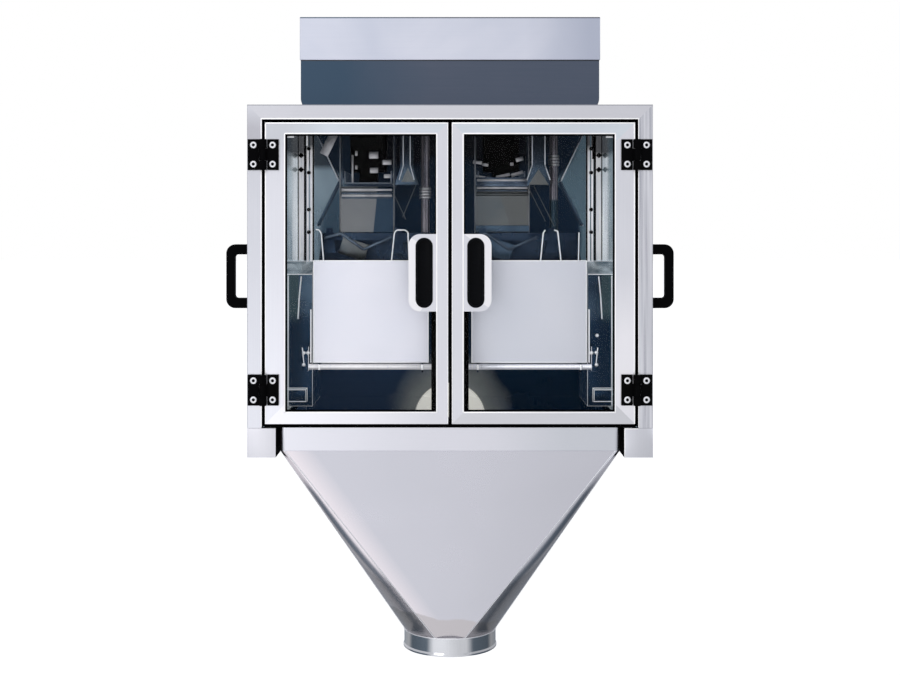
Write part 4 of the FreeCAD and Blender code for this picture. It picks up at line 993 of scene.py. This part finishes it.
# %% [markdown]
# ## Seals, gap shade and catching edges
# The black seal behind the doors is fixed to the cabinet, and the strip that closes the gap between
# the doors rides on the right door; both also paint the shade in the gaps. A black gasket holds
# each pane, and a black strip beside each window is painted shade. The ground edges round the doors
# and the opening are very narrow and catch the light, so they stand just proud of the sheet, and
# their white glow is a painted highlight.

# %% Fit the seals and the bright edges
proud, flush = -220.35, -219.4
bm = bmesh.new()
ring_of_bars(bm, (-307, 48.7), (307, 550.8), 9, -204, -200.5)
bar(bm, (-302, -220.6, 48.8), (302, flush, 51.8))
put("door_seal_and_gap_shade", bm, "cabinet", "black_plastic", black_rubber_and_shade)
bm = bmesh.new()
# White glowing bars round the opening are painted highlights.
for x0, x1, z0, z1 in ((-308, 308, 550.2, 552.2), (-307.9, -306.1, 50, 550.2),
                       (306.1, 307.5, 50, 550.2)):
    bar(bm, (x0, proud, z0), (x1, flush, z1))
rail_low, rail_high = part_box("base_rail_right")
rail_low, rail_high = rail_low / mm, rail_high / mm
for x1, z0 in ((rail_low.x + 1.5, rail_low.z + 1), (306, rail_high.z - 1.5)):
    bar(bm, (rail_low.x, rail_low.y - 0.35, z0), (x1, rail_low.y + 0.6, rail_high.z))
put("opening_edge_highlights", bm, "cabinet", "bright_steel", painted_highlight_edge)
bm = bmesh.new()
# A black strip in the gap between the doors, as painted shade.
bar(bm, (-1.8, -214, 56), (3, -208, 543.5))
put("centre_seal_and_gap_shade", bm, "door_right", "black_plastic", black_rubber_and_shade)
for side, sign in SIDES.items():
    bm = bmesh.new()
    ring_of_bars(bm, (sign * 22.5, 74.5), (sign * 268, 526), 2.4, -214, -211.1)
    put("glass_gasket_" + side, bm, "door_" + side, "black_plastic", black_rubber_and_shade)
    bm = bmesh.new()
    # A black strip beside the window, as painted shade.
    bar(bm, (sign * 22, -206.4, 73), (sign * 30.5, -205.2, 237))
    put("window_shade_strip_" + side, bm, "door_" + side, "black_plastic", black_rubber_and_shade)
    bm = bmesh.new()
    # White glowing bars round each door are painted highlights.
    for x0, x1, z0, z1 in ((3, 301, 542.9, 545), (298.9, 301, 55, 545), (3, 4.4, 56, 545)):
        bar(bm, (sign * x0, proud, z0), (sign * x1, flush, z1))
    ring_of_bars(bm, (sign * 20.4, 72.4), (sign * 270.1, 528.1), 2.1, proud, flush)
    put("door_edge_highlights_" + side, bm, "door_" + side, "bright_steel", painted_highlight_edge)
print("seals and edges fitted")

# %% [markdown]
# ## Ring screws of the hinges
# Each hinge is moulded in black plastic and held by four cup-head screws, which show as a bright
# ring around a dark socket. The profile of half a ring is spun round its own axis. The two screws
# on the door's leaf move with the door.

# %% Set the ring screws
RING = [(2.5, 0.0), (2.7, -0.9), (4.0, -1.2), (5.2, -0.8), (5.6, 0.0)]


def ring_screw(bm, x, z):
    """A domed bright ring with a dark six-sided socket, standing on a face that looks forward."""
    turned_part(bm, (x, -225.05, z), RING, (0, 1, 0), 28)
    socket = bmesh.new()
    bmesh.ops.create_circle(socket, cap_ends=True, segments=6, radius=2.6 * mm,
                            matrix=Matrix.Rotation(math.radians(90), 4, "X"))
    join(bm, socket, Matrix.Translation(Vector((x, -225.3, z)) * mm), 1)


hinge_axis, from_axis = 303.5, 15.5
for body, signs, outwards in (("cabinet", (-1, 1), 1), ("door_left", (-1,), -1),
                              ("door_right", (1,), -1)):
    bm = bmesh.new()
    for sign in signs:
        for height in (492.5, 110):
            for lift in (-15.5, 15.5):
                ring_screw(bm, sign * (hinge_axis + outwards * from_axis), height + lift)
    put("ring_screws_" + body, bm, body, "polished_steel", edge_steel, black_enamel)
print("ring screws set")

# %% [markdown]
# ## The cabin
# Behind the glass everything is thin sheet with bright cut edges, and the brightness of the cut
# edges is partly a painted highlight. Sheets that face the window mirror the room, and the rest
# stays in shade, which is painted into the darker cabin steels. The sloping tops of the drive
# housings are painted lighter as painted light. The two gate plates differ a little as painted
# reflections, because each one mirrors a different part of the machine in front of it.

# %% Dress the sheets of the cabin
lever_or_plate = where(lambda centre, normal: centre.z > 145 * mm or centre.y > -118 * mm)
sloping_top = where(lambda centre, normal: normal.z > 0.15, 2)
right_gate = where(lambda centre, normal: centre.x > 0)
for name in ("guide_plates", "feed_chutes", "feeder_trays"):
    dress(name, inner_steel, edge_steel, width=0.45, edge_finish=1)
dress("divider_plates", divider_steel, width=0.45)
dress("gate_panels", gate_left, gate_right, edge_steel, width=0.4, rule=right_gate)
for side in SIDES:
    dress("weigh_bucket_" + side, bucket_steel, width=0.5)
    dress("bucket_front_" + side, satin_steel, painted_highlight_edge, width=0.9, edge_finish=1)
    dress("bucket_flap_" + side, pivot_steels[side], navy_steel, width=0.5, rule=lever_or_plate)
    dress("drive_housing_" + side, navy_steel, painted_highlight_edge, lit_hip_steel, width=0.9,
          rule=sloping_top, edge_finish=1)
    dress("feeder_drive_" + side, black_plastic, width=1.2)
dress("corner_posts", post_steel)
dress("hanger_rods", post_steel, width=0.4)
dress("post_knobs", black_enamel, width=1.0, segments=3)

# %% [markdown]
# ## Wires along the sheets
# Bent wire edges stiffen the guide plates, the dividers and the chutes. Each one is a row of
# places with a rod between neighbours, as a wire is bent at a few points and straight between.

# %% Bend the wires
bm = bmesh.new()
for sign in SIDES.values():
    path(bm, 1.2, -20.5, (sign * 234.5, 538), (sign * 195.5, 457))
    path(bm, 1.8, -20.5, (sign * 195.5, 455), (sign * 233, 379), finish=1)
for x in (-192, -98, 44, 138):
    path(bm, 0.7, -45.6, (x, 570), (x, 367), finish=2)
for middle, neck, foot in ((-74.5, 6, 13), (152.5, 11, 20)):
    for sign in SIDES.values():
        path(bm, 1.0, -80.6, (middle + sign * neck, 570), (middle + sign * neck, 482),
             (middle + sign * foot, 456))
for start, end in (((-58, 450), (-82, 392)), ((-96, 430), (-76, 388)),
                   ((145, 446), (180, 377)), ((134, 446), (165, 385))):
    path(bm, 0.7, -70, start, end, finish=2)
put("cabin_edge_wires", bm, "cabinet", "polished_steel", edge_steel, navy_steel, gate_right)
print("wires bent")

# %% [markdown]
# ## Hooks and braces of the buckets
# Hooks on the front plates carry the buckets, and small caps close the bearings of the pivot rods.
# The thin bright rings are the edges of the front plates, and their white glow, like that of the
# hooks and caps, is a painted highlight. Behind each bucket a bent brace and a slanted plate hold
# the chute; the left plate is a lighter copy and the right one a darker copy, as painted light and
# shade.

# %% Hang the hooks and braces
hooks = [(1.2, (-213.7, 318), (-217.5, 364), (-221, 370), (-227, 371)),
         (1.2, (-98.8, 318), (-94, 365), (-90, 370), (-76, 370), (-71, 366), (-69, 318)),
         (1.2, (153, 318), (157.5, 365), (161, 370)),
         (1.2, (176, 370), (182, 368), (187.5, 318)), (1.0, (218, 366), (217, 318))]
bm = bmesh.new()
for radius, *places in hooks:
    path(bm, radius, -126, *places)
for sign in SIDES.values():
    ring_of_bars(bm, (sign * 36, 146), (sign * 231, 319), 1.6, -130.3, -129.5)
for x in (-220.25, -46.75, 46.75, 220.25):
    bar(bm, (x - 1.5, -135.7, 134.5), (x + 1.5, -134.9, 143.6), 0.2)
put("bucket_hooks", bm, "cabinet", "polished_steel", painted_highlight_edge)

bm = bmesh.new()
for shift, finish in ((0, 1), (252, 2)):
    path(bm, 2.6, -57, (-218 + shift, 356), (-189 + shift, 364), (-150 + shift, 336),
         (-101 + shift, 358))
    bar(bm, (-191 + shift, -56, 322), (-144 + shift, -54.5, 352), 0.5, 18, finish)
put("bucket_braces", bm, "cabinet", "inner_steel", inner_steel, gate_right, navy_steel)
print("hooks", len(hooks))

# %% [markdown]
# ## Trims and gaps at the sides
# Bright trims frame the drive housings, and their white glow is a painted highlight, as is the
# bright strip at the top of the left hanger. Dark strips are painted shadow in the gaps that the
# photograph shows along the hangers and the corner posts, and a strip closes the slit behind the
# skirt.

# %% Add the trims and gaps
bm = bmesh.new()
for sign in SIDES.values():
    path(bm, 1.3, -99, (sign * 254, 291), (sign * 257.5, 255), (sign * 259.6, 218))
    path(bm, 1.0, -99, (sign * 276.5, 292), (sign * 276.5, 70))
    for height in (97, 77):
        path(bm, 0.9, -99, (sign * 246, height), (sign * 276, height))
    path(bm, 1.8, -50, (sign * 257, 316), (sign * 257, 330))
    bar(bm, (sign * 235 - 1, -129, 146), (sign * 235 + 1, -120, 236))
    bar(bm, (sign * 256, -198, 521.6), (sign * 287, -195, 524.4))
rod(bm, (251.2, -101, 190), (251.2, -97, 190), 3, sides=12)
# A painted highlight along the top of the left hanger.
bar(bm, (-249.3, -63.6, 516), (-246.5, -62.6, 570), 0.3)
put("housing_trims_and_highlights", bm, "cabinet", "polished_steel", painted_highlight_edge)

bm = bmesh.new()
for sign in SIDES.values():
    for near, far, front, rear, foot in ((249.6, 253.1, -63.4, -60, 317),
                                         (235.6, 238.4, -63.4, -62.4, 317),
                                         (285.9, 287, 167.2, 168.4, 52)):
        bar(bm, (sign * near, front, foot), (sign * far, rear, 570), 0.2)
bar(bm, (246.4, -63.6, 493), (249.8, -62.6, 570), 0.3)
put("hanger_shadow_gaps", bm, "cabinet", "black_paint", black_rubber_and_shade)

bm = bmesh.new()
bar(bm, (-284, 215.7, 46.5), (284, 216.9, 50.4), 0.3)
put("rear_seam_strip", bm, "cabinet", "inner_steel", back_steel)
print("trims and gaps added")

# %% [markdown]
# ## Plates, tabs and ribs
# A slanted wear plate and two three-cornered flanges guide the product. Small bright tabs hold the
# feeder drives, and ribs close the top of each gate.

# %% Add the plates, tabs and ribs
bm = bmesh.new()
bar(bm, (-220, -22.5, 500), (-204, -21, 548), 0.5, 26)
for x, z, wide, tall in ((-72.5, 461, 13.5, 16), (152.5, 457, 20, 18)):
    flange = bmesh.new()
    bmesh.ops.create_circle(flange, cap_ends=True, segments=3, radius=1.0)
    bmesh.ops.scale(flange, vec=(wide * mm, tall * mm, 1), verts=flange.verts)
    join(bm, flange, Matrix.Translation(Vector((x, -80.4, z)) * mm)
         @ Matrix.Rotation(math.radians(90), 4, "X"), 1)
put("wear_plates", bm, "cabinet", "satin_steel", rib_steel, gate_right)

tabs = [(-135.2, 502.6, 16.5, 12.4, 0), (-111.6, 489.8, 16, 8.7, 0), (-134.6, 475.5, 14.8, 10, 0),
        (-109.8, 465.5, 14.8, 7.4, 0), (-166, 505.8, 4.4, 8.6, 0), (-166, 480.9, 4.4, 7, 0),
        (-172.6, 478, 3.5, 50, 0), (48.8, 489.9, 16, 6.2, 8), (62.5, 485.5, 11, 5, 10),
        (109.7, 486.8, 6.2, 5.5, 0), (123.4, 495.3, 13.7, 7.4, -15), (54, 464, 18, 5, 8),
        (71, 461.7, 13.6, 5, 5), (94, 466, 25, 6, -12), (119, 469.6, 22, 6.5, -17)]
bm = bmesh.new()
for x, z, wide, tall, turn in tabs:
    bar(bm, (x - wide / 2, -8, z - tall / 2), (x + wide / 2, -5.5, z + tall / 2), 0.5, turn)
put("feeder_tabs", bm, "cabinet", "satin_steel", rib_steel)

bm = bmesh.new()
for left, heights in ((-191, (440, 434.2, 430, 426)), (45, (457, 451.5, 443.5, 438.5))):
    for place, height in enumerate(heights):
        thick = 2.2 if place in (0, 2) else 1.2
        bar(bm, (left + 2, -50, height - thick), (left + 90, -47.2, height + thick), 1, 0,
            place % 2)
bar(bm, (45, -49, 446), (137, -47.4, 462), 0.5, finish=1)
bar(bm, (45, -50, 367), (138, -47.2, 378), 0.8, finish=2)
put("gate_ribs", bm, "cabinet", "gate_steel", rib_steel, inner_steel, navy_steel)
print("tabs", len(tabs))

# %% [markdown]
# ## Turned columns
# The two columns between the feeders are turned from bar, with three grooves in each collar. Their
# profile is drawn once and spun.

# %% Turn the columns
RIDGE = [(7.4, 0), (9.2, 0), (10.4, 0.8), (10.4, 3.6), (9.2, 4.4), (7.4, 4.4)]
bm = bmesh.new()
for x, collar in ((-43.5, 425), (182, 482)):
    turned_part(bm, (x, -30, 0), [(0.01, 366), (7.5, 366), (7.5, 570.8), (0.01, 570.8)],
                (0, 0, 1), 32)
    for ridge in range(4):
        turned_part(bm, (x, -30, collar + 5 * ridge), RIDGE, (0, 0, 1), 32, 1)
columns = put("turned_columns", bm, "cabinet", "inner_steel", column_steel, rib_steel, turn=30)
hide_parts("collared_columns")
print("column faces", len(columns.data.polygons))

# %% [markdown]
# ## Small fasteners
# Black socket screws hold the hangers, and small domed nuts hold the levers of the bucket flaps.
# The nuts and the short rods beside them move with the flaps, and their white glow is a painted
# highlight.

# %% Set the fasteners
DOME = [(0.01, -2.6), (1.6, -2.3), (2.8, -1.2), (3.2, 0.0)]
SCREW = [(0.01, -5.5), (2.6, -5.5), (3.2, -4.9), (3.2, 0.0)]
for name, slot, finish, x, y, heights, profile in (
        ("hanger_screws", "black_paint", black_enamel, 244.5, -62.2, (511, 469.5, 405.4, 366.2),
         SCREW),
        ("knob_caps", "black_plastic", black_enamel, 281, 159.2, (511, 484), DOME)):
    bm = bmesh.new()
    for sign in SIDES.values():
        for height in heights:
            turned_part(bm, (sign * x, y, height), profile, (0, 1, 0), 16)
    put(name, bm, "cabinet", slot, finish)
nut_places = {"left": ((246.4, 163), (239.4, 163), (246.6, 143)),
              "right": ((238.6, 163), (246.6, 163.5), (246.8, 143))}
for side, sign in SIDES.items():
    bm = bmesh.new()
    for x, z in nut_places[side]:
        turned_part(bm, (sign * x, -133, z), DOME, (0, 1, 0), 14)
    path(bm, 1.0, -132.6, (sign * 249, 172), (sign * 246, 142))
    put("lever_nuts_" + side, bm, "flap_" + side, "polished_steel", painted_highlight_edge)
print("fasteners set")
